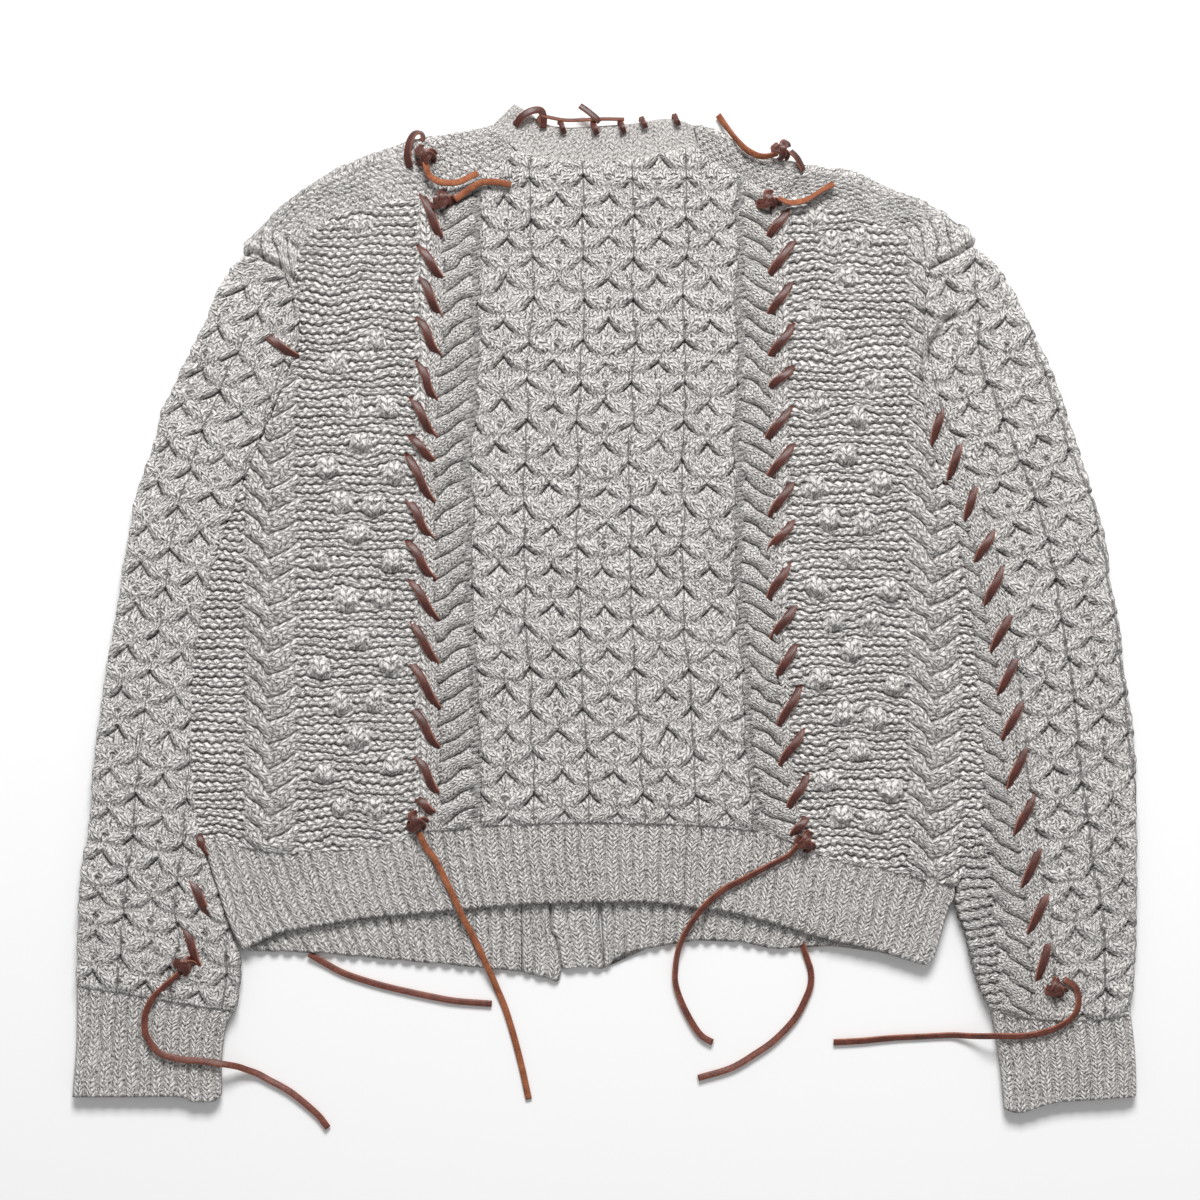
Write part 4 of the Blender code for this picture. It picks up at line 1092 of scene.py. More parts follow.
class Patch:
    """The surface between four edge lines."""

    def __init__(self, bottom: Points, top: Points, left: Points, right: Points) -> None:
        """Draw the four edges.

        Args:
            bottom, top: lines from left to right.
            left, right: lines from the bottom up.
        """
        self.bottom, self.top, self.left, self.right = (
            smooth_line(line) for line in (bottom, top, left, right))
        self.width = 0.5 * (length_of(self.bottom) + length_of(self.top))
        self.height = 0.5 * (length_of(self.left) + length_of(self.right))

    def place(self, u: Array, v: Array) -> Array:
        """Find places inside the edges.

        Args:
            u, v: shares of the way across and up.

        Returns:
            x and y of each, on the last axis.
        """
        ou, ov = 1 - u, 1 - v
        across = ov[..., None] * along(self.bottom, u) + v[..., None] * along(self.top, u)
        upward = ou[..., None] * along(self.left, v) + u[..., None] * along(self.right, v)
        corners = ((ou * ov)[..., None] * self.bottom[0] + (u * ov)[..., None] * self.bottom[-1]
                   + (ou * v)[..., None] * self.top[0] + (u * v)[..., None] * self.top[-1])
        return across + upward - corners


def put(name: str, data: ID) -> Object:
    """Return a new object with that data, put in the scene."""
    made = bpy.data.objects.new(name, data)
    bpy.context.scene.collection.objects.link(made)
    return made


def new_piece(name: str, points: Array, faces: list, materials: Sequence[Material],
              indices: Array | None = None, charts: Array | None = None,
              crevice_shade: Array | None = None) -> Object:
    """Make a piece from points in millimetres.

    Args:
        name: its name.
        points: one point to a row.
        faces: arrays of faces, each with the same number of corners in every row.
        materials: its materials.
        indices: the material of each face.
        charts: the place of each face corner in the stitches.
        crevice_shade: how deep each point lies in a crevice, from 0 to 1, painted as shade.

    Returns:
        The object.
    """
    mesh = bpy.data.meshes.new(name)
    sizes = np.concatenate([np.full(len(block), block.shape[1]) for block in faces])
    corners = np.concatenate([block.ravel() for block in faces]).astype(np.int32)
    mesh.vertices.add(len(points))
    mesh.vertices.foreach_set("co", (points * MM).astype(np.float32).ravel())
    mesh.loops.add(len(corners))
    mesh.loops.foreach_set("vertex_index", corners)
    mesh.polygons.add(len(sizes))
    starts = np.concatenate([[0], np.cumsum(sizes)[:-1]]).astype(np.int32)
    mesh.polygons.foreach_set("loop_start", starts)
    if indices is not None:
        mesh.polygons.foreach_set("material_index", indices.astype(np.int32))
    mesh.update(calc_edges=True)
    if charts is not None:
        chart = mesh.uv_layers.new(name="stitch")
        chart.uv.foreach_set("vector", charts.astype(np.float32).ravel())
    if crevice_shade is not None:
        # The attribute "hollow" carries the painted crevice shade to the material
        depth = mesh.attributes.new("hollow", "FLOAT", "POINT")
        depth.data.foreach_set("value", crevice_shade.astype(np.float32))
    mesh.shade_smooth()
    for finish in materials:
        mesh.materials.append(finish)
    return put(name, mesh)


def on_frame(made: Object, node: str) -> None:
    """Put a piece on the frame, in place of a solid."""
    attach(made, "root")
    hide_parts(node)


def softened(grid: Array, steps: int) -> Array:
    """Return the mean of each place's surroundings in a grid, that many steps each way."""
    for axis in (0, 1):
        padded = np.pad(grid, [(steps + 1, steps) if a == axis else (0, 0) for a in (0, 1)],
                        mode="edge")
        total = np.cumsum(padded, axis=axis)
        span = 2 * steps + 1
        high = np.take(total, np.arange(span, total.shape[axis]), axis=axis)
        low = np.take(total, np.arange(0, total.shape[axis] - span), axis=axis)
        grid = (high - low) / span
    return grid


def ring_faces(rings: int, around: int) -> Array:
    """Return the four-sided faces between rings of points that follow each other."""
    here = np.arange(rings - 1)[:, None] * around
    steps = np.arange(around)[None, :]
    turn = (steps + 1) % around
    return np.stack([here + steps, here + turn, here + around + turn, here + around + steps],
                    axis=-1).reshape(-1, 4)


def zip_rows(one: Array, other: Array) -> Array:
    """Fill the strip between two rows of points with triangles.

    Args:
        one, other: indices of the points of each row, which run the same way.

    Returns:
        The triangles, three indices to a row.
    """
    faces = []
    i = j = 0
    while i < len(one) - 1 or j < len(other) - 1:
        first = (i + 1) / max(len(one) - 1, 1)
        second = (j + 1) / max(len(other) - 1, 1)
        if j >= len(other) - 1 or (i < len(one) - 1 and first <= second):
            faces.append((one[i], one[i + 1], other[j]))
            i += 1
        else:
            faces.append((one[i], other[j + 1], other[j]))
            j += 1
    return np.array(faces, int)


@dataclass
class Cloth:
    """One knitted piece: a thin shell with its stitches in relief on the side that shows."""

    name: str
    edges: tuple[Points, Points, Points, Points]  # bottom, top, left, right
    plan: KnitPlan
    chart_frame: Frame
    level: float = BACK_LEVEL
    thick: float = CLOTH
    grid: float = 1.15  # millimetres between points of the relief
    grid_up: float = 0.0  # the same up the piece, where it differs
    ground: float = 2.3  # how far the ground of the stitches lies under the solid's top
    rims: tuple[float, float, float, float] = (2.6, 2.6, 0.5, 0.5)  # left, right, bottom, top
    sewn: str = ""  # the edges that are sewn on, of l, r, b and t: the relief sinks a little there
    seam: float = TOP_LEVEL - 0.2  # height of a sewn edge
    fall: float = 0.0  # how much lower the top edge lies
    reach: tuple[float, float, float, float] = (0.0, 0.0, 0.0, 0.0)  # past the edge lines
    under_columns: int = 14
    tube: bool = False
    flow: float = 1.0  # strength of the swells and creases
    bulge: float = 0.0  # how far the relief pushes the side edges out
    bulge_up: float = 0.0  # the same for the lower and upper edges that are not sewn
    loose: float = 0.8  # millimetres that single stitches stray
    held: Sequence[str] = ()  # what it lies on

    def lines(self) -> tuple[Array, Array]:
        """Return the shares across and up at which the relief is drawn."""
        patch = self.patch
        columns = max(4, round(patch.width / self.grid))
        rows = max(4, round(patch.height / (self.grid_up or self.grid)))
        left, right, bottom, top = self.reach
        across = np.linspace(-left / patch.width, 1 + right / patch.width, columns + 1)
        upward = np.linspace(-bottom / patch.height, 1 + top / patch.height, rows + 1)
        return across, upward

    def surface(self, u: Array, v: Array) -> tuple[Array, Array, Array]:
        """Lay the right side of the cloth.

        Args:
            u, v: shares across and up, as two grids.

        Returns:
            The points, and the two coordinates of each in the knitting.
        """
        flat = self.spread(u, v)
        x, y = flat[..., 0], flat[..., 1]
        s, t = self.chart_frame(x, y, u, v)
        s = s + self.loose * TENSION.at(x, y)
        t = t + self.loose * TENSION_ACROSS.at(x, y)
        chart, _ = self.plan.read(s, t)
        width = np.linalg.norm(np.diff(flat, axis=1), axis=2).sum(axis=1)[:, None]
        length = np.linalg.norm(np.diff(flat, axis=0), axis=2).sum(axis=0)[None, :]
        span_u = (u - u.min()) / (u.max() - u.min())
        span_v = (v - v.min()) / (v.max() - v.min())
        kept = np.ones(u.shape)
        joining = np.ones(u.shape)
        gaps = (span_u * width, (1 - span_u) * width, span_v * length, (1 - span_v) * length)
        for gap, radius, edge in zip(gaps, self.rims, "lrbt"):
            if edge in self.sewn:
                joining = joining * (gap / radius).clip(0.0, 1.0)
            else:
                kept = kept * round_over(gap, radius)
        joining = 0.4 + 0.6 * joining
        relief = chart.height * (1 + 0.12 * TENSION.at(x + 7.0, y)) + 0.35 * LUMPS.at(x, y)
        swell = relief - softened(relief, BULGE_STEPS)
        outward = np.gradient(flat, axis=1)
        outward = outward / np.linalg.norm(outward, axis=2, keepdims=True)
        push = self.bulge * swell * (np.exp(-(gaps[1] / BULGE_SIDE) ** 2)
                                     - np.exp(-(gaps[0] / BULGE_SIDE) ** 2))
        upward = np.gradient(flat, axis=0)
        upward = upward / np.linalg.norm(upward, axis=2, keepdims=True)
        lower, upper = (0.0 if edge in self.sewn else 1.0 for edge in "bt")
        lump = self.bulge_up * swell * (upper * np.exp(-(gaps[3] / BULGE_END) ** 2)
                                        - lower * np.exp(-(gaps[2] / BULGE_END) ** 2))
        flat = flat + outward * push[..., None] + upward * lump[..., None]
        top = self.level + self.top_height - self.ground + relief - self.fall * v
        top = self.seam + (top - self.seam) * joining + self.flow * cloth_lift(x, y)
        middle = self.level + 0.5 * self.top_height - 0.1 - self.fall * v
        z = middle + (top - middle) * kept
        return np.dstack([flat, z]), s, t

    def spread(self, u: Array, v: Array) -> Array:
        """Return the places on the flat, also a little past the edge lines."""
        at_u, at_v = u.clip(0.0, 1.0), v.clip(0.0, 1.0)
        places = self.patch.place(at_u, at_v)
        step = 0.01
        for along_u, along_v, beyond in ((step, 0.0, u - at_u), (0.0, step, v - at_v)):
            if np.any(beyond):
                ahead = self.patch.place((at_u + along_u).clip(0.0, 1.0),
                                         (at_v + along_v).clip(0.0, 1.0))
                behind = self.patch.place((at_u - along_u).clip(0.0, 1.0),
                                          (at_v - along_v).clip(0.0, 1.0))
                places = places + (ahead - behind) / step * beyond[..., None]
        return places

    @property
    def top_height(self) -> float:
        """Height of the whole piece: one wall, or two and the slit of a tube."""
        return 2 * self.thick + TUBE_SLIT if self.tube else self.thick

    def build(self, finish: Material, slot: str, node: str) -> Object:
        """Build the piece and put it on the frame.

        Args:
            finish: its material.
            slot: not used.
            node: the solid that it stands for.

        Returns:
            The object.
        """
        self.patch = Patch(*self.edges)
        across, upward = self.lines()
        u, v = np.meshgrid(across, upward)
        top, s, t = self.surface(u, v)
        rows, columns = u.shape
        set_in = (SET_IN_TUBE if self.tube else SET_IN) / self.patch.width
        under_u, under_v = np.meshgrid(
            np.linspace(across[-1] - set_in, across[0] + set_in, self.under_columns), upward)
        under = np.dstack([self.spread(under_u, under_v),
                           np.full(under_u.shape, self.level) - self.fall * under_v])
        ends = np.zeros(rows)
        ends[[0, -1]] = 0.3 * self.thick
        under[..., 2] += ends[:, None]
        rings = [np.concatenate([top, under], axis=1)]
        around = columns + self.under_columns
        if self.tube:
            rings.append(self.lining(across, upward))
        points = np.concatenate(rings).reshape(-1, 3)
        total = len(points) // around
        blocks = [ring_faces(total, around)]
        last = (total - 1) * around
        if self.tube:
            steps = np.arange(around)
            turn = (steps + 1) % around
            blocks.append(np.stack([last + steps, last + turn, turn, steps], axis=-1))
        else:
            low = zip_rows(np.arange(columns), around - 1 - np.arange(self.under_columns))
            high = zip_rows(last + np.arange(columns),
                            last + around - 1 - np.arange(self.under_columns))
            blocks += [low[:, ::-1], high]
        charts = self.corner_charts(s, t, rows, columns, around, blocks, points)
        # Painted shade: how deep each point of the right side lies in a crevice, darkened in the
        # colour
        crevice_shade = np.zeros((total, around))
        crevice_shade[:rows, :columns] = self.crevices(top[..., 2])
        made = new_piece(self.name, points, blocks, [finish], charts=charts,
                         crevice_shade=crevice_shade.ravel())
        on_frame(made, node)
        self.declare(made, top)
        return made

    def crevices(self, heights: Array) -> Array:
        """Return each right-side point's painted shade: its depth below its surroundings, 0 to 1.
        """
        near = softened(heights, max(1, round(CREVICE_NEAR / self.grid))) - heights
        wide = softened(heights, max(1, round(CREVICE_WIDE / self.grid))) - heights
        deep = ((0.7 * near + 0.3 * wide - 0.1) / 1.2).clip(0.0, 1.0)
        for edge, at in (("b", slice(0, 3)), ("t", slice(-3, None))):
            if edge in self.sewn:
                deep[at] *= 0.3
        return deep

    def lining(self, across: Array, upward: Array) -> Array:
        """Draw the inside of a tube, from its upper end back to its lower end.

        Args:
            across, upward: the shares at which the outside is drawn.

        Returns:
            Rings of points, with as many in each as the outside has.
        """
        stops = np.linspace(1.0, 0.0, 9)
        heights = upward[0] + (upward[-1] - upward[0]) * stops
        tuck = 1.1 * self.thick / self.patch.width
        inset = across[0] + tuck + (across - across[0]) * (1 - 2 * tuck / (across[-1] - across[0]))
        back = np.linspace(inset[-1], inset[0], self.under_columns)
        u, v = np.meshgrid(np.concatenate([inset, back]), heights)
        flat = self.spread(u, v)
        z = np.full(u.shape, self.level + self.thick)
        z[:, :len(across)] += TUBE_SLIT
        return np.dstack([flat, z])

    def corner_charts(self, s: Array, t: Array, rows: int, columns: int, around: int,
                      blocks: list, points: Array) -> Array:
        """Place each face corner in the stitches.

        Args:
            s, t: the knitting coordinates of the right side's points.
            rows, columns: the size of that grid.
            around: points in a ring.
            blocks: the faces.
            points: every point.

        Returns:
            One pair of values for each face corner.
        """
        x, y = points[:, 0], points[:, 1]
        plain = np.stack([x / STITCH, -y / ROW], axis=-1)  # the sides that lie down
        charts = [plain[block] for block in blocks]
        right = charts[0].reshape(-1, around, 4, 2)
        corner_s = np.stack([s[:-1, :-1], s[:-1, 1:], s[1:, 1:], s[1:, :-1]], axis=-1)
        corner_t = np.stack([t[:-1, :-1], t[:-1, 1:], t[1:, 1:], t[1:, :-1]], axis=-1)
        centre, band = self.plan.read(corner_s.mean(axis=-1), corner_t.mean(axis=-1))
        spread = np.repeat(band[..., None], 4, axis=-1)
        strands = np.repeat(centre.strand[..., None], 4, axis=-1)
        chart, _ = self.plan.read(corner_s, corner_t, spread, strands)
        right[:rows - 1, :columns - 1, :, 0] = chart.across
        right[:rows - 1, :columns - 1, :, 1] = chart.rows
        charts[0] = right
        return np.concatenate([block.reshape(-1, 2) for block in charts])

    def declare(self, made: Object, top: Array) -> None:
        """Say the size that the cloth is cut to.

        Args:
            made: the object.
            top: the grid of its right side.
        """
        flat = top[..., :2]
        one = flat[1:, 1:] - flat[:-1, :-1]
        other = flat[1:, :-1] - flat[:-1, 1:]
        area = 0.5 * np.abs(one[..., 0] * other[..., 1] - one[..., 1] * other[..., 0]).sum()
        width = np.linalg.norm(np.diff(flat, axis=1), axis=2).sum(axis=1).max()
        length = np.linalg.norm(np.diff(flat, axis=0), axis=2).sum(axis=0).max()
        sides = 2 if self.tube else 1
        area = sides * area * MM ** 2
        size = (round(sides * width * MM, 3), round(length * MM, 3))
        area = min(area, 0.999 * size[0] * size[1])
        LOG.info("%s: %d faces, cut %.0f x %.0f mm", made.name, len(made.data.polygons),
                 1000 * size[0], 1000 * size[1])


def by_place(x: Array, y: Array, u: Array, v: Array) -> tuple[Array, Array]:
    """Chart a piece by where it lies, with the hand's unevenness."""
    return x + 1.1 * HAND.at(x, y), -y + 1.2 * HAND_ACROSS.at(x, y)


def by_share(across: float, down: float) -> Frame:
    """Return a frame that charts a piece over that many millimetres, wherever it lies."""
    return lambda x, y, u, v: (u * across, (1 - v) * down)


# ---------------------------------------------------------------- the garment's parts
# What several pieces share
ON_FLOOR = dict(level=0.0, held=("studio_floor",))
ON_FRONTS = dict(held=("front_left", "front_right"))
RIB_WALL = dict(thick=RIB, ground=1.5)
ALL_SEWN = dict(sewn="lrbt", rims=(2.2, 2.2, 5.0, 3.0))
SLEEVE_TUBE = dict(tube=True, under_columns=24, bulge=0.5, sewn="b", seam=WRIST_SEAM,
                   reach=(0.0, 0.0, 0.5, 0.0), **ON_FLOOR)


@dataclass
class Back:
    """The laced back: a middle panel, two side panels and the hem rib."""

    finishes: Finishes
    middle_width: float = 250.0
    rope_pitch: float = 0.5 * HONEYCOMB_TALL
    hem_size: tuple[float, float] = (519.0, 58.0)  # along the rib and down it

    def middle_frame(self, x: Array, y: Array, u: Array, v: Array) -> tuple[Array, Array]:
        """Chart the middle panel between its two seams.

        Args:
            x, y: places in millimetres.
            u, v: not used.

        Returns:
            Millimetres across and down.
        """
        left = line_at(SEAM_LEFT, y)
        right = line_at(SEAM_RIGHT, y)
        s = (x - left) / (right - left) * self.middle_width
        return s + 1.5 * HAND.at(x, y), -y + 2.2 * HAND_ACROSS.at(x, y)

    def middle_plan(self) -> KnitPlan:
        """Return the honeycomb between two ropes."""
        return KnitPlan((
            (8.6, Stocking()),
            (30.6, Rope(19.6, 11.0, self.rope_pitch, 0.6, Lean.UP_TO_THE_RIGHT, 3.5)),
            (35.6, Ladder()),
            (219.6, Honeycomb(start=35.5, first_row=-97.9)),
            (224.4, Ladder()),
            (245.4, Rope(234.9, 10.5, self.rope_pitch, 0.65, Lean.UP_TO_THE_LEFT, 3.5)),
            (FAR_SIDE, Stocking()),
        ))

    def side_plan(self, stops: Sequence[float], bobbles: Points, mirrored: bool) -> KnitPlan:
        """Plan a side panel: a garter field with bobbles, and a pair of ropes.

        Args:
            stops: where the bands end, from left to right, but for the last one.
            bobbles: where the bobbles stand.
            mirrored: true on the right side, where the field comes first.

        Returns:
            The plan.
        """
        first = 2 if mirrored else 1
        ropes = []
        for index, lean, steep, start in ((first, Lean.UP_TO_THE_LEFT, 0.95, -10.3),
                                          (first + 1, Lean.UP_TO_THE_RIGHT, 0.6, -7.4)):
            low, high = stops[index - 1], stops[index]
            ropes.append((high, Rope(0.5 * (low + high), 0.5 * (high - low), SIDE_ROPE_PITCH,
                                     steep, lean, start, fine=False)))
        if mirrored:
            bands = ((stops[0], Stocking()), (stops[1], Garter()), *ropes, (FAR_SIDE, Garter()))
        else:
            bands = ((stops[0], Garter()), *ropes, (stops[3], Garter()), (FAR_SIDE, Stocking()))
        return KnitPlan(bands, tuple((x, -y) for x, y in bobbles))

    def build(self) -> None:
        """Build the four pieces."""
        neck = YOKE_LEFT + NECK_SEAM[3:-1] + YOKE_RIGHT
        Cloth("middle_back_honeycomb", (HEM_SEAM[5:11], neck, SEAM_LEFT, SEAM_RIGHT),
              self.middle_plan(), self.middle_frame, reach=(0.5, 0.5, 0.4, 0.4), grid=1.14,
              **ALL_SEWN, **ON_FRONTS).build(self.finishes.cable, "cable_knit", "back_centre")
        for side, edges, stops, bobbles, reach in (
            ("left", (HEM_SEAM[:6], SHOULDER_LEFT, SIDE_LEFT, SEAM_LEFT),
             (-252.2, -232.6, -214.6, -131.5), BOBBLES_LEFT, (2.0, 0.5, 0.4, 0.4)),
            ("right", (HEM_SEAM[10:], SHOULDER_RIGHT, SEAM_RIGHT, SIDE_RIGHT),
             (128.5, 212.2, 231.4, 249.0), BOBBLES_RIGHT, (0.5, 2.0, 0.4, 0.4)),
        ):
            Cloth("side_back_bobbles_" + side, edges,
                  self.side_plan(stops, bobbles, side == "right"), by_place, reach=reach,
                  grid=1.4, grid_up=0.92, bulge=0.4, held=("front_" + side,), **ALL_SEWN,
                  ).build(self.finishes.bobble, "bobble_knit", "back_side_" + side)
        Cloth("back_hem_ribbing", (HEM_EDGE, HEM_SEAM, HEM_END_LEFT, HEM_END_RIGHT),
              all_over(Ribbing()), by_share(*self.hem_size), rims=(2.6, 2.6, 2.4, 5.0),
              reach=(0.0, 0.0, 0.0, 0.6), flow=0.4, sewn="t", bulge_up=0.9,
              held=("front_hem_left", "front_hem_right"), **RIB_WALL,
              ).build(self.finishes.rib, "rib_knit", "back_hem_rib")


@dataclass
class Shoulders:
    """The strips of front cloth that turn over the shoulders, and the neckband."""

    finishes: Finishes
    strip_length: float = 205.0
    strip_depth: float = 40.0
    neck_size: tuple[float, float] = (134.0, 27.0)  # along the band and down it
    collar_size: tuple[float, float] = (22.0, 122.0)  # across the band and along it

    def rope(self, middle: float, half: float, lean: Lean) -> Rope:
        """Return the rope beside the moss stitch of a strip."""
        return Rope(middle, half, 11.0, 0.6, lean, rise=4.4, fine=False)

    def strip_frame(self, x: Array, y: Array, u: Array, v: Array) -> tuple[Array, Array]:
        """Chart a shoulder strip along its length."""
        return (u * self.strip_length + 0.6 * HAND.at(x, y),
                (1 - v) * self.strip_depth + 0.6 * HAND.at(y, x))

    def collar_frame(self, x: Array, y: Array, u: Array, v: Array) -> tuple[Array, Array]:
        """Chart a band down a front along the neck."""
        return v * self.collar_size[1], u * self.collar_size[0]

    def build(self) -> None:
        """Build the two strips and the band."""
        yoke = YOKE_LEFT[1:]
        for side, edges, bands in (
            ("left", (SHOULDER_LEFT + yoke, YOKE_FOLD_LEFT, ARMHOLE_LEFT,
                      [yoke[-1], YOKE_FOLD_LEFT[-1]]),
             ((24.0, self.rope(12.0, 13.0, Lean.UP_TO_THE_RIGHT)), (FAR_SIDE, Moss()))),
            ("right", (YOKE_RIGHT + SHOULDER_RIGHT[1:], YOKE_FOLD_RIGHT,
                       [YOKE_RIGHT[0], YOKE_FOLD_RIGHT[0]], ARMHOLE_RIGHT),
             ((172.0, Moss()), (FAR_SIDE, self.rope(188.5, 14.5, Lean.UP_TO_THE_LEFT)))),
        ):
            Cloth("shoulder_strip_" + side, edges, KnitPlan(bands), self.strip_frame,
                  ground=1.8, rims=(2.2, 2.2, 3.0, 3.0), sewn="b", reach=(0.6, 0.6, 0.8, 0.0),
                  bulge_up=1.1, **ON_FRONTS,
                  ).build(self.finishes.shoulder, "cable_knit", "shoulder_" + side)
        ribs = all_over(Ribbing(NECK_RIB_PITCH, 3.8, 0.8))
        Cloth("neckband_ribbing", (NECK_SEAM, NECKBAND_EDGE, [NECK_SEAM[0], NECKBAND_EDGE[0]],
                                   [NECK_SEAM[-1], NECKBAND_EDGE[-1]]),
              ribs, by_share(*self.neck_size), thick=RIB, ground=1.3, grid=1.0, fall=4.0,
              sewn="b", rims=(1.0, 1.0, 3.0, 2.2), reach=(1.5, 2.5, 0.6, 0.0), flow=0.4,
              **ON_FRONTS).build(self.finishes.neck, "rib_knit", "neckband")
        for node, left, right in (("neckband_front_left", NECK_FRONT_LEFT, COLLAR_LEFT),
                                  ("neckband_front_right", COLLAR_RIGHT, NECK_FRONT_RIGHT)):
            edges = ([left[0], right[0]], [left[-1], right[-1]], left, right)
            Cloth(node + "_ribbing", edges, ribs, self.collar_frame, thick=RIB, ground=1.3,
                  grid=2.4, flow=0.0, rims=(1.5, 1.5, 1.0, 1.0), under_columns=6, **ON_FLOOR,
                  ).build(self.finishes.rib, "rib_knit", node)


@dataclass
class Fronts:
    """The fronts, which the back hides except for the lower edges of their ribs."""

    finishes: Finishes
    hidden_grid: float = 4.0
    shown_grid: float = 1.3
    band_grid: float = 1.8
    rib_depth: float = 64.0
    band_size: tuple[float, float] = (3 * RIB_PITCH, 485.0)

    def rib(self, node: str, edges: tuple, frame: Frame, **settings: object) -> None:
        """Build one ribbed piece.

        Args:
            node: the solid that it stands for.
            edges: its bottom, top, left and right.
            frame: the frame of its chart.
            settings: the rest of what its cloth needs.
        """
        Cloth(node + "_ribbing", edges, all_over(Ribbing()), frame, flow=0.0, bulge_up=0.9,
              **settings, **RIB_WALL, **ON_FLOOR).build(self.finishes.rib, "rib_knit", node)

    def build(self) -> None:
        """Build the two fronts, their hem ribs and their bands."""
        for node, edges in (
            ("front_left", (FRONT_RIB_LEFT, YOKE_FOLD_LEFT[:-1], SIDE_LEFT[:-1] + ARMHOLE_LEFT,
                            BAND_LEFT_EDGE[:-1] + NECK_FRONT_LEFT)),
            ("front_right", (FRONT_RIB_RIGHT, YOKE_FOLD_RIGHT[1:],
                             BAND_RIGHT_EDGE[:-1] + NECK_FRONT_RIGHT,
                             SIDE_RIGHT[:-1] + ARMHOLE_RIGHT)),
        ):
            Cloth(node + "_knit", edges, all_over(Stocking(rise=0.4)), by_place,
                  grid=self.hidden_grid, flow=0.0, ground=1.9, rims=(2.4, 2.4, 1.0, 1.0),
                  **ON_FLOOR).build(self.finishes.cable, "cable_knit", node)
        for node, length, edges in (
            ("front_hem_left", 196.0, (FRONT_HEM_LEFT, FRONT_RIB_LEFT, HEM_END_LEFT,
                                       [FRONT_HEM_LEFT[-1], FRONT_RIB_LEFT[-1]])),
            ("front_hem_right", 236.0, (FRONT_HEM_RIGHT, FRONT_RIB_RIGHT,
                                        [FRONT_HEM_RIGHT[0], FRONT_RIB_RIGHT[0]],
                                        HEM_END_RIGHT)),
        ):
            self.rib(node, edges, by_share(length, self.rib_depth), grid=self.shown_grid,
                     rims=(1.2, 1.2, 1.4, 0.6), under_columns=8)
        for node, edges in (
            ("front_band_left", ([FRONT_HEM_LEFT[-1], BAND_MEETING[0]],
                                 [BAND_LEFT_EDGE[-1], BAND_MEETING[-1]],
                                 [FRONT_HEM_LEFT[-1]] + BAND_LEFT_EDGE, BAND_MEETING)),
            ("front_band_right", ([BAND_FOOT_RIGHT, FRONT_HEM_RIGHT[0]],
                                  [BAND_MEETING[-1], BAND_RIGHT_EDGE[-1]],
                                  [BAND_FOOT_RIGHT] + BAND_MEETING[1:],
                                  [FRONT_HEM_RIGHT[0]] + BAND_RIGHT_EDGE)),
        ):
            self.rib(node, edges, by_share(*self.band_size), grid=self.band_grid,
                     rims=(1.2, 1.2, 1.2, 1.0), under_columns=6)


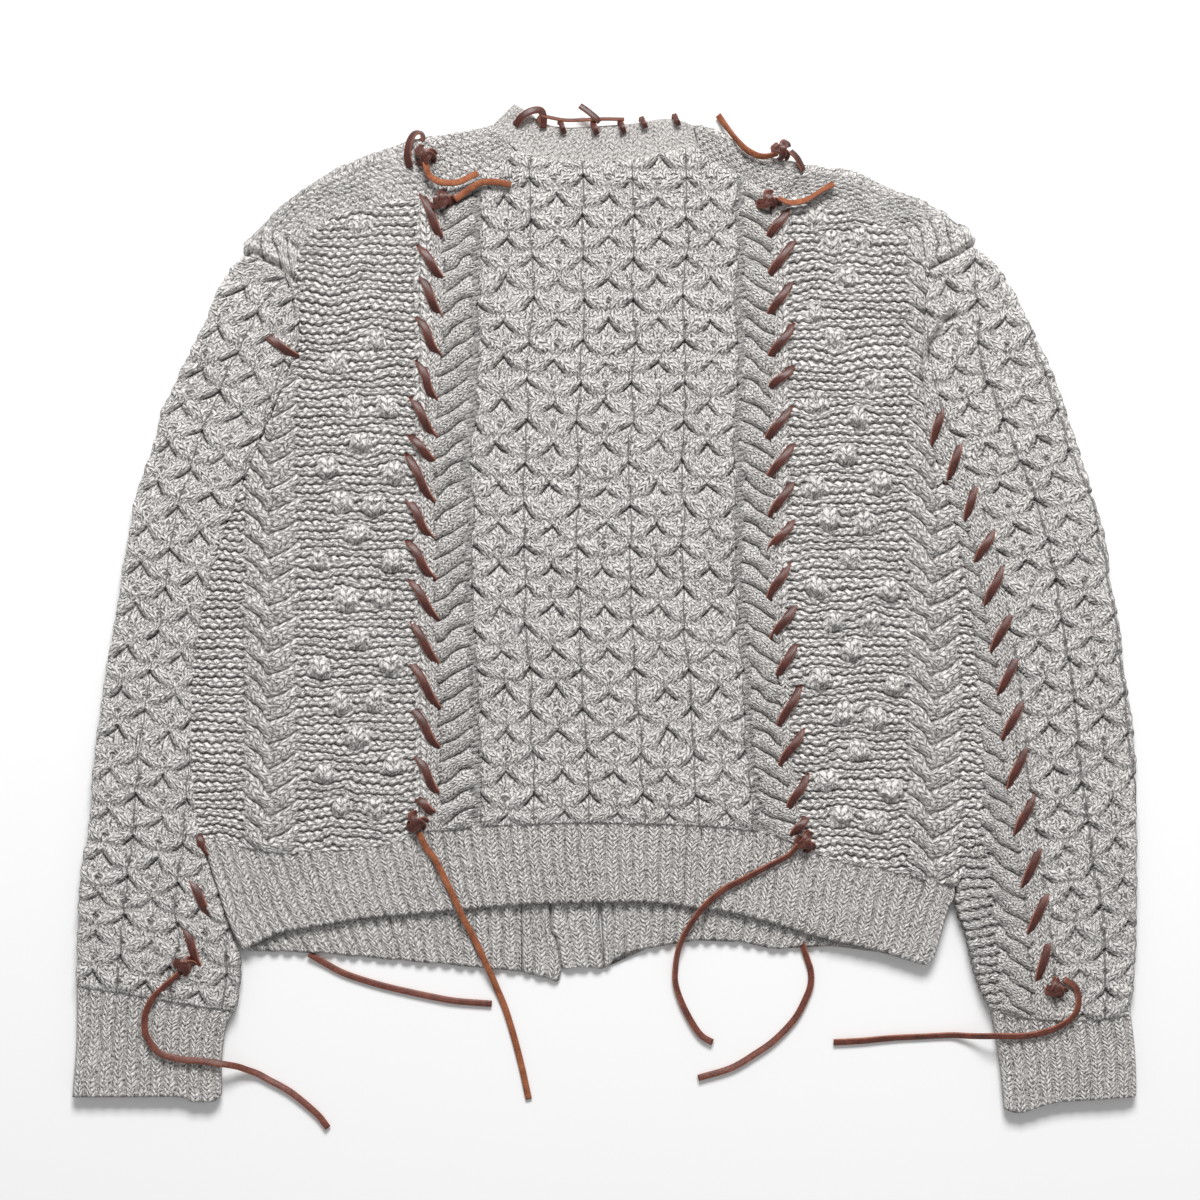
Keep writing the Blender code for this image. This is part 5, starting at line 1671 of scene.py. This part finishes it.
@dataclass
class Sleeves:
    """The two sleeves and their cuffs, as tubes laid flat."""

    finishes: Finishes
    rope_wide: float = 22.0
    rope_end: float = -8.0  # from the laced seam of the right sleeve
    slope: float = math.radians(9.0)  # of a sleeve's own axis from the garment's
    head: float = 250.0  # where the sleeves' charts start, from the origin
    cuff_depth: float = 66.0

    def left_frame(self, x: Array, y: Array, u: Array, v: Array) -> tuple[Array, Array]:
        """Chart the left sleeve from its outer fold.

        Args:
            x, y: places in millimetres.
            u, v: the share across from the outer fold; v is not used.

        Returns:
            Millimetres across and down.
        """
        outer = line_at(SLEEVE_LEFT_OUTER, y)
        inner = line_at(SLEEVE_LEFT_INNER, y)
        tilt = np.cos(np.arctan(np.gradient(0.5 * (outer + inner)[:, 0], y[:, 0])))
        s = u * (inner - outer) * tilt[:, None]
        t = self.head - y * math.cos(self.slope) - (x + 320.0) * math.sin(self.slope)
        return s + HAND.at(x, y), t + 1.6 * HAND_ACROSS.at(x, y)

    def right_frame(self, x: Array, y: Array, u: Array, v: Array) -> tuple[Array, Array]:
        """Chart the right sleeve from its laced seam.

        Args:
            x, y: places in millimetres.
            u, v: not used.

        Returns:
            Millimetres across, measured from the seam, and down.
        """
        seam = [(0.5 * (a[0] + b[0]), 0.5 * (a[1] + b[1]))
                for a, b in LACING["lacing_sleeve_right"]]
        middle = line_at([(309.0, -300.0)] + seam[::-1] + [(222.0, 160.0), (215.0, 236.0)], y)
        slope = np.gradient(middle[:, 0], y[:, 0])
        s = (x - middle) * np.cos(np.arctan(slope))[:, None]
        t = self.head - y * math.cos(self.slope) + (x - 310.0) * math.sin(self.slope)
        return s + HAND.at(x, y), t + 1.6 * HAND_ACROSS.at(x, y)

    def build(self) -> None:
        """Build the sleeves and the cuffs."""
        half = 0.5 * self.rope_wide
        rope = Rope(self.rope_end - half, half, SIDE_ROPE_PITCH, 0.95, Lean.UP_TO_THE_LEFT)
        bands = ((self.rope_end - self.rope_wide, Garter()), (self.rope_end, rope),
                 (6.5, Stocking()), (FAR_SIDE, Honeycomb(start=6.5, first_row=4.0)))
        for side, edges, plan, frame, rims in (
            ("left", (SLEEVE_LEFT_WRIST, SLEEVE_LEFT_HEAD, SLEEVE_LEFT_OUTER, SLEEVE_LEFT_INNER),
             all_over(Honeycomb(start=-6.0, first_row=9.0)), self.left_frame,
             (5.6, 3.0, 5.0, 2.0)),
            ("right", (SLEEVE_RIGHT_WRIST, SLEEVE_RIGHT_HEAD, SLEEVE_RIGHT_INNER,
                       SLEEVE_RIGHT_OUTER), KnitPlan(bands), self.right_frame,
             (3.0, 5.6, 5.0, 2.0)),
        ):
            Cloth("sleeve_honeycomb_" + side, edges, plan, frame, rims=rims, **SLEEVE_TUBE,
                  ).build(self.finishes.cable, "cable_knit", "sleeve_" + side)
        for node, width, edges in (
            ("cuff_left", 108.0, (CUFF_LEFT_EDGE, SLEEVE_LEFT_WRIST, CUFF_LEFT_OUTER,
                                  CUFF_LEFT_INNER)),
            ("cuff_right", 97.0, (CUFF_RIGHT_EDGE, SLEEVE_RIGHT_WRIST, CUFF_RIGHT_INNER,
                                  CUFF_RIGHT_OUTER)),
        ):
            Cloth(node + "_ribbing", edges, all_over(Ribbing()),
                  by_share(width, self.cuff_depth), rims=(4.6, 4.6, 2.0, 5.0), tube=True,
                  reach=(0.0, 0.0, 0.0, 0.6), flow=0.5, sewn="t", seam=WRIST_SEAM, **RIB_WALL,
                  **ON_FLOOR).build(self.finishes.rib, "rib_knit", node)


@dataclass
class Strap:
    """A length of flat lace along a line."""

    line: Array
    face: Face = Face.GRAIN
    width: float = LACE_WIDTH
    thick: float = LACE_THICKNESS
    roll: Array | float = 0.0  # degrees that it is turned over about its own line
    taper: Array | float = 1.0  # share of the width that shows, along the line

    def mesh(self) -> tuple[Array, list, Array]:
        """Sweep the section along the line.

        Returns:
            The points, the faces and the material of each face, numbered as in LACE_SIDES.
        """
        line = self.line
        count = len(line)
        tangent = np.gradient(line, axis=0)
        tangent /= np.linalg.norm(tangent, axis=1, keepdims=True)
        side = np.cross(tangent, [0.0, 0.0, 1.0])
        size = np.linalg.norm(side, axis=1, keepdims=True)
        side = side / np.maximum(size, 1e-6)
        above = np.cross(side, tangent)
        angle = np.radians(np.broadcast_to(np.asarray(self.roll, float), (count,)))[:, None]
        turned = (side * np.cos(angle) + above * np.sin(angle)) * self.face.value
        above = (above * np.cos(angle) - side * np.sin(angle)) * self.face.value
        wide = 0.5 * self.width * np.broadcast_to(np.asarray(self.taper, float), (count,))[:, None]
        high = 0.5 * self.thick
        points = np.stack([line + turned * wide * a + above * high * b for a, b in LACE_SECTION],
                          axis=1)
        around = len(LACE_SECTION)
        ends = np.array([np.arange(around)[::-1], (count - 1) * around + np.arange(around)])
        indices = np.concatenate([np.tile(LACE_SIDES, count - 1), [2, 2]])
        return points.reshape(-1, 3), [ring_faces(count, around), ends], indices


def joined(straps: Sequence[Strap]) -> tuple[Array, list, Array]:
    """Join the meshes of several straps.

    Args:
        straps: the straps.

    Returns:
        The points, the faces and the material of each face.
    """
    points, quads, ends, sides, caps = [], [], [], [], []
    start = 0
    for strap in straps:
        found, (around, closing), kinds = strap.mesh()
        points.append(found)
        quads.append(around + start)
        ends.append(closing + start)
        sides.append(kinds[:len(around)])
        caps.append(kinds[len(around):])
        start += len(found)
    return (np.concatenate(points), [np.concatenate(quads), np.concatenate(ends)],
            np.concatenate(sides + caps))


@dataclass
class Laces:
    """The leather lacing, its knots and its free ends."""

    finishes: Finishes
    stitch_points: int = 15
    stitch_width: float = 5.8
    stitch_sink: float = 1.6  # how deep the ends of a stitch lie in the seam
    stitch_arch: float = 4.6  # how high it rises from there
    stitch_lean: float = 26.0  # degrees that it turns over at its ends
    end_width: float = 4.5  # a free end curls, and shows less than its full width
    end_step: float = 1.6  # between two points of a free end
    above_floor: float = 8.5  # a free end that is higher lies on the cloth
    knot_width: float = 5.4
    knot_thick: float = 1.6
    neck_end_width: float = 4.4
    neck_run_width: float = 3.6  # it stands on edge, and shows less than its full width
    neck_turn_width: float = 3.8
    turns: tuple[tuple[float, float, float, float], ...] = (
        (150.0, 0.30, 0.70, -12.0), (4.0, -0.30, 0.86, 18.0), (60.0, 0.24, 0.92, -14.0),
        (112.0, -0.08, 1.0, 12.0))  # of a knot: angle, place aside, span and roll

    def place(self, name: str, straps: Sequence[Strap], node: str,
              slot: str = "lace_leather") -> Object:
        """Make one piece of straps and put it on the frame.

        Args:
            name: the piece's name.
            straps: what it is made of.
            node: the solid that it stands for.
            slot: not used.

        Returns:
            The object.
        """
        points, faces, kinds = joined(straps)
        grain = self.finishes.worn if node in TAILS else self.finishes.grain
        made = new_piece(name, points, faces, [grain, self.finishes.flesh, self.finishes.edge],
                         kinds)
        on_frame(made, node)
        LOG.info("%s: %d faces", name, len(made.data.polygons))
        return made

    def tails(self) -> None:
        """Build the free ends, each a cord of the length that the photo shows."""
        for name, tail in TAILS.items():
            line = smooth_line([(*point, LACE_REST)[:3] for point in tail.route], 10)
            back = line[0] - line[4]
            line = np.vstack([line[0] + tail.hidden * back / np.linalg.norm(back), line])
            line[:, 2] = line[:, 2].clip(LACE_REST)
            count = max(12, round(length_of(line) / self.end_step))
            line = along(line, np.linspace(0.0, 1.0, count))
            angle = math.radians(tail.roll)
            stand = self.end_width * abs(math.sin(angle)) + LACE_THICKNESS * math.cos(angle)
            on_cloth = (line[:, 2] > self.above_floor).astype(float)
            line[:, 2] += 0.5 * stand - LACE_TUBE_RADIUS - 0.1 + tail.raised * on_cloth
            line[:, 2] = softened(line[:, 2:3], 2)[:, 0]
            share = np.linspace(0.0, 1.0, count)
            swing = tail.roll * (0.75 + 0.25 * np.cos(3.0 * PI * share))
            strap = Strap(line, tail.face, width=self.end_width, roll=swing)
            made = self.place(name + "_lace", [strap], name, tail.slot)

    def stitch(self, high: tuple[float, float], low: tuple[float, float], bow: float) -> Strap:
        """Draw one lacing stitch, which comes up out of the seam and goes back in.

        Args:
            high, low: its upper and lower end.
            bow: how far it bows sideways, in millimetres.

        Returns:
            The strap.
        """
        share = np.linspace(-0.06, 1.06, self.stitch_points)
        x = high[0] + (low[0] - high[0]) * share
        y = high[1] + (low[1] - high[1]) * share
        run = math.hypot(low[0] - high[0], low[1] - high[1])
        inside = share.clip(0.0, 1.0)
        arch = np.sin(PI * inside) ** 0.5
        x = x + bow * np.sin(2 * PI * inside) * (high[1] - low[1]) / run
        y = y - bow * np.sin(2 * PI * inside) * (high[0] - low[0]) / run
        lift = np.mean(cloth_lift(x, y).clip(-0.5, 2.0))
        z = TOP_LEVEL - self.stitch_sink + lift + self.stitch_arch * arch
        taper = 0.74 + 0.26 * np.sin(PI * (0.06 + 0.88 * inside)) ** 0.6
        roll = self.stitch_lean * np.cos(PI * inside) * np.sign(low[0] - high[0])
        return Strap(np.stack([x, y, z], axis=-1), width=self.stitch_width, roll=roll,
                     taper=taper)

    def lacing(self) -> None:
        """Build the runs of lacing."""
        for name, stitches in LACING.items():
            straps = [self.stitch(high, low, 0.7 + 0.3 * math.sin(5.0 * index))
                      for index, (high, low) in enumerate(stitches)]
            self.place(name + "_stitches", straps, name)

    def knots(self) -> None:
        """Build the knots, each a lace that goes over and under itself."""
        for name, knot in KNOTS.items():
            lift = float(cloth_lift(np.array([knot.x], float), np.array([knot.y], float))[0])
            foot = TOP_LEVEL + max(lift, 0.0)
            straps = [self.turn_of_knot(knot, foot, *turn) for turn in self.turns]
            self.place(name + "_lace", straps, name)

    def turn_of_knot(self, knot: Knot, foot: float, angle: float, aside: float, share: float,
                     roll: float) -> Strap:
        """Draw one turn of a knot, an arch whose feet the others hide.

        Args:
            knot: the knot.
            foot: height of the cloth there.
            angle: degrees from the knot's own direction.
            aside: how far the arch stands aside of the middle, in knots.
            share: share of the knot's size that it spans.
            roll: degrees that the lace is turned over.

        Returns:
            The strap.
        """
        turn = math.radians(knot.turn + angle)
        arc = np.linspace(-0.08, 1.08, 15) * PI
        half = 0.5 * (knot.wide + (knot.long - knot.wide) * abs(math.sin(math.radians(angle))))
        reach = (half - 1.0) * share * np.cos(arc)
        sway = half * (aside + 0.16 * np.sin(2 * arc))
        x = knot.x + reach * math.cos(turn) - sway * math.sin(turn)
        y = knot.y + reach * math.sin(turn) + sway * math.cos(turn)
        z = foot + 0.8 + (knot.high * (0.55 + 0.4 * share) - 1.0) * np.sin(arc)
        return Strap(np.stack([x, y, z], axis=-1), width=self.knot_width, thick=self.knot_thick,
                     roll=roll * np.cos(arc))

    def short(self) -> None:
        """Build the loops over the shoulders and the lacing of the neck edge."""
        left = smooth_line(LOOP_LEFT)
        roll = np.interp(np.linspace(0, 1, len(left)), [0, 0.45, 0.75, 1], [10, 22, 66, 60])
        self.place("loop_shoulder_left_lace", [Strap(left, roll=roll)], "loop_shoulder_left")
        self.place("loop_shoulder_right_lace", [Strap(smooth_line(LOOP_RIGHT), roll=40.0)],
                   "loop_shoulder_right")
        end = Strap(smooth_line(NECK_END), roll=20.0, width=self.neck_end_width)
        self.place("neck_lace_end", [end], "lace_end_neck")
        straps = [Strap(smooth_line(NECK_RUN), roll=60.0, width=self.neck_run_width),
                  Strap(smooth_line(NECK_BEND), roll=12.0)]
        for x, y, down in NECK_TURNS:
            turn = smooth_line([(x + 2.0, y - down, 8.0), (x + 1.0, y - 0.6 * down, 11.0),
                                (x, y - 0.5, 9.6), (x - 0.8, y + 2.0, 6.6),
                                (x - 1.0, y + 0.5, 3.6)], 6)
            straps.append(Strap(turn, roll=8.0, width=self.neck_turn_width))
        self.place("neck_edge_lacing", straps, "lacing_neck")


# ---------------------------------------------------------------- camera, light and floor
@dataclass
class Studio:
    """Overhead camera, one broad soft light from beyond the neck, fill, and a pale floor."""

    frame_width: float = 840.0  # millimetres of the garment's plane that the picture takes in
    lens: float = 85.0
    sensor: float = 36.0
    centre: tuple[float, float] = (-2.98, 5.6)
    plane: float = 8.0
    floor_half: float = 3000.0
    floor_level: float = -0.4
    key_watts: float = 130.0
    key_size: float = 1000.0
    key_place: tuple[float, float, float] = (140.0, 2420.0, 2140.0)
    key_tilt: float = -48.5  # degrees towards the garment
    key_turn: float = 3.0  # degrees
    fill_strength: float = 0.40

    def camera(self) -> None:
        """Hang the camera straight above the garment."""
        data = bpy.data.cameras.new("overhead_camera")
        data.lens = self.lens
        data.sensor_width = self.sensor
        data.clip_start = 0.05
        data.clip_end = 20.0
        made = put("overhead_camera", data)
        height = self.plane + self.frame_width * self.lens / self.sensor
        made.location = (MM * self.centre[0], MM * self.centre[1], MM * height)
        bpy.context.scene.camera = made

    def floor(self) -> None:
        """Lay the pale floor."""
        mesh = bpy.data.meshes.new("studio_floor")
        half = MM * self.floor_half
        mesh.from_pydata([(-half, -half, 0.0), (half, -half, 0.0), (half, half, 0.0),
                          (-half, half, 0.0)], [], [(0, 1, 2, 3)])
        mesh.materials.append(PaperSweep().build())
        made = put("studio_floor", mesh)
        made.location.z = MM * self.floor_level

    def light(self) -> None:
        """Set the key light and the fill."""
        data = bpy.data.lights.new("key_softbox", "AREA")
        data.shape = "RECTANGLE"
        data.size = 1.5 * MM * self.key_size
        data.size_y = MM * self.key_size
        data.energy = self.key_watts
        made = put("key_softbox", data)
        made.location = [MM * value for value in self.key_place]
        made.rotation_euler = (math.radians(self.key_tilt), 0.0, math.radians(self.key_turn))
        world = bpy.data.worlds.new("studio_fill")
        world.use_nodes = True
        feed(world.node_tree.nodes["Background"],
             {"Color": (1.0, 1.0, 1.0, 1.0), "Strength": self.fill_strength})
        bpy.context.scene.world = world
        bpy.context.scene.view_settings.view_transform = "Standard"


def main() -> None:
    """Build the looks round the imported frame."""
    logging.basicConfig(level=logging.INFO, format="%(message)s")
    for old in list(bpy.data.objects):
        bpy.data.objects.remove(old, do_unlink=True)
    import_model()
    studio = Studio()
    studio.camera()
    studio.floor()
    studio.light()
    finishes = Finishes()
    laces = Laces(finishes)
    laces.tails()
    for part in (Back(finishes), Shoulders(finishes), Fronts(finishes), Sleeves(finishes)):
        part.build()
    laces.lacing()
    laces.knots()
    laces.short()
    bpy.context.view_layer.update()


if __name__ == "__main__":
    main()
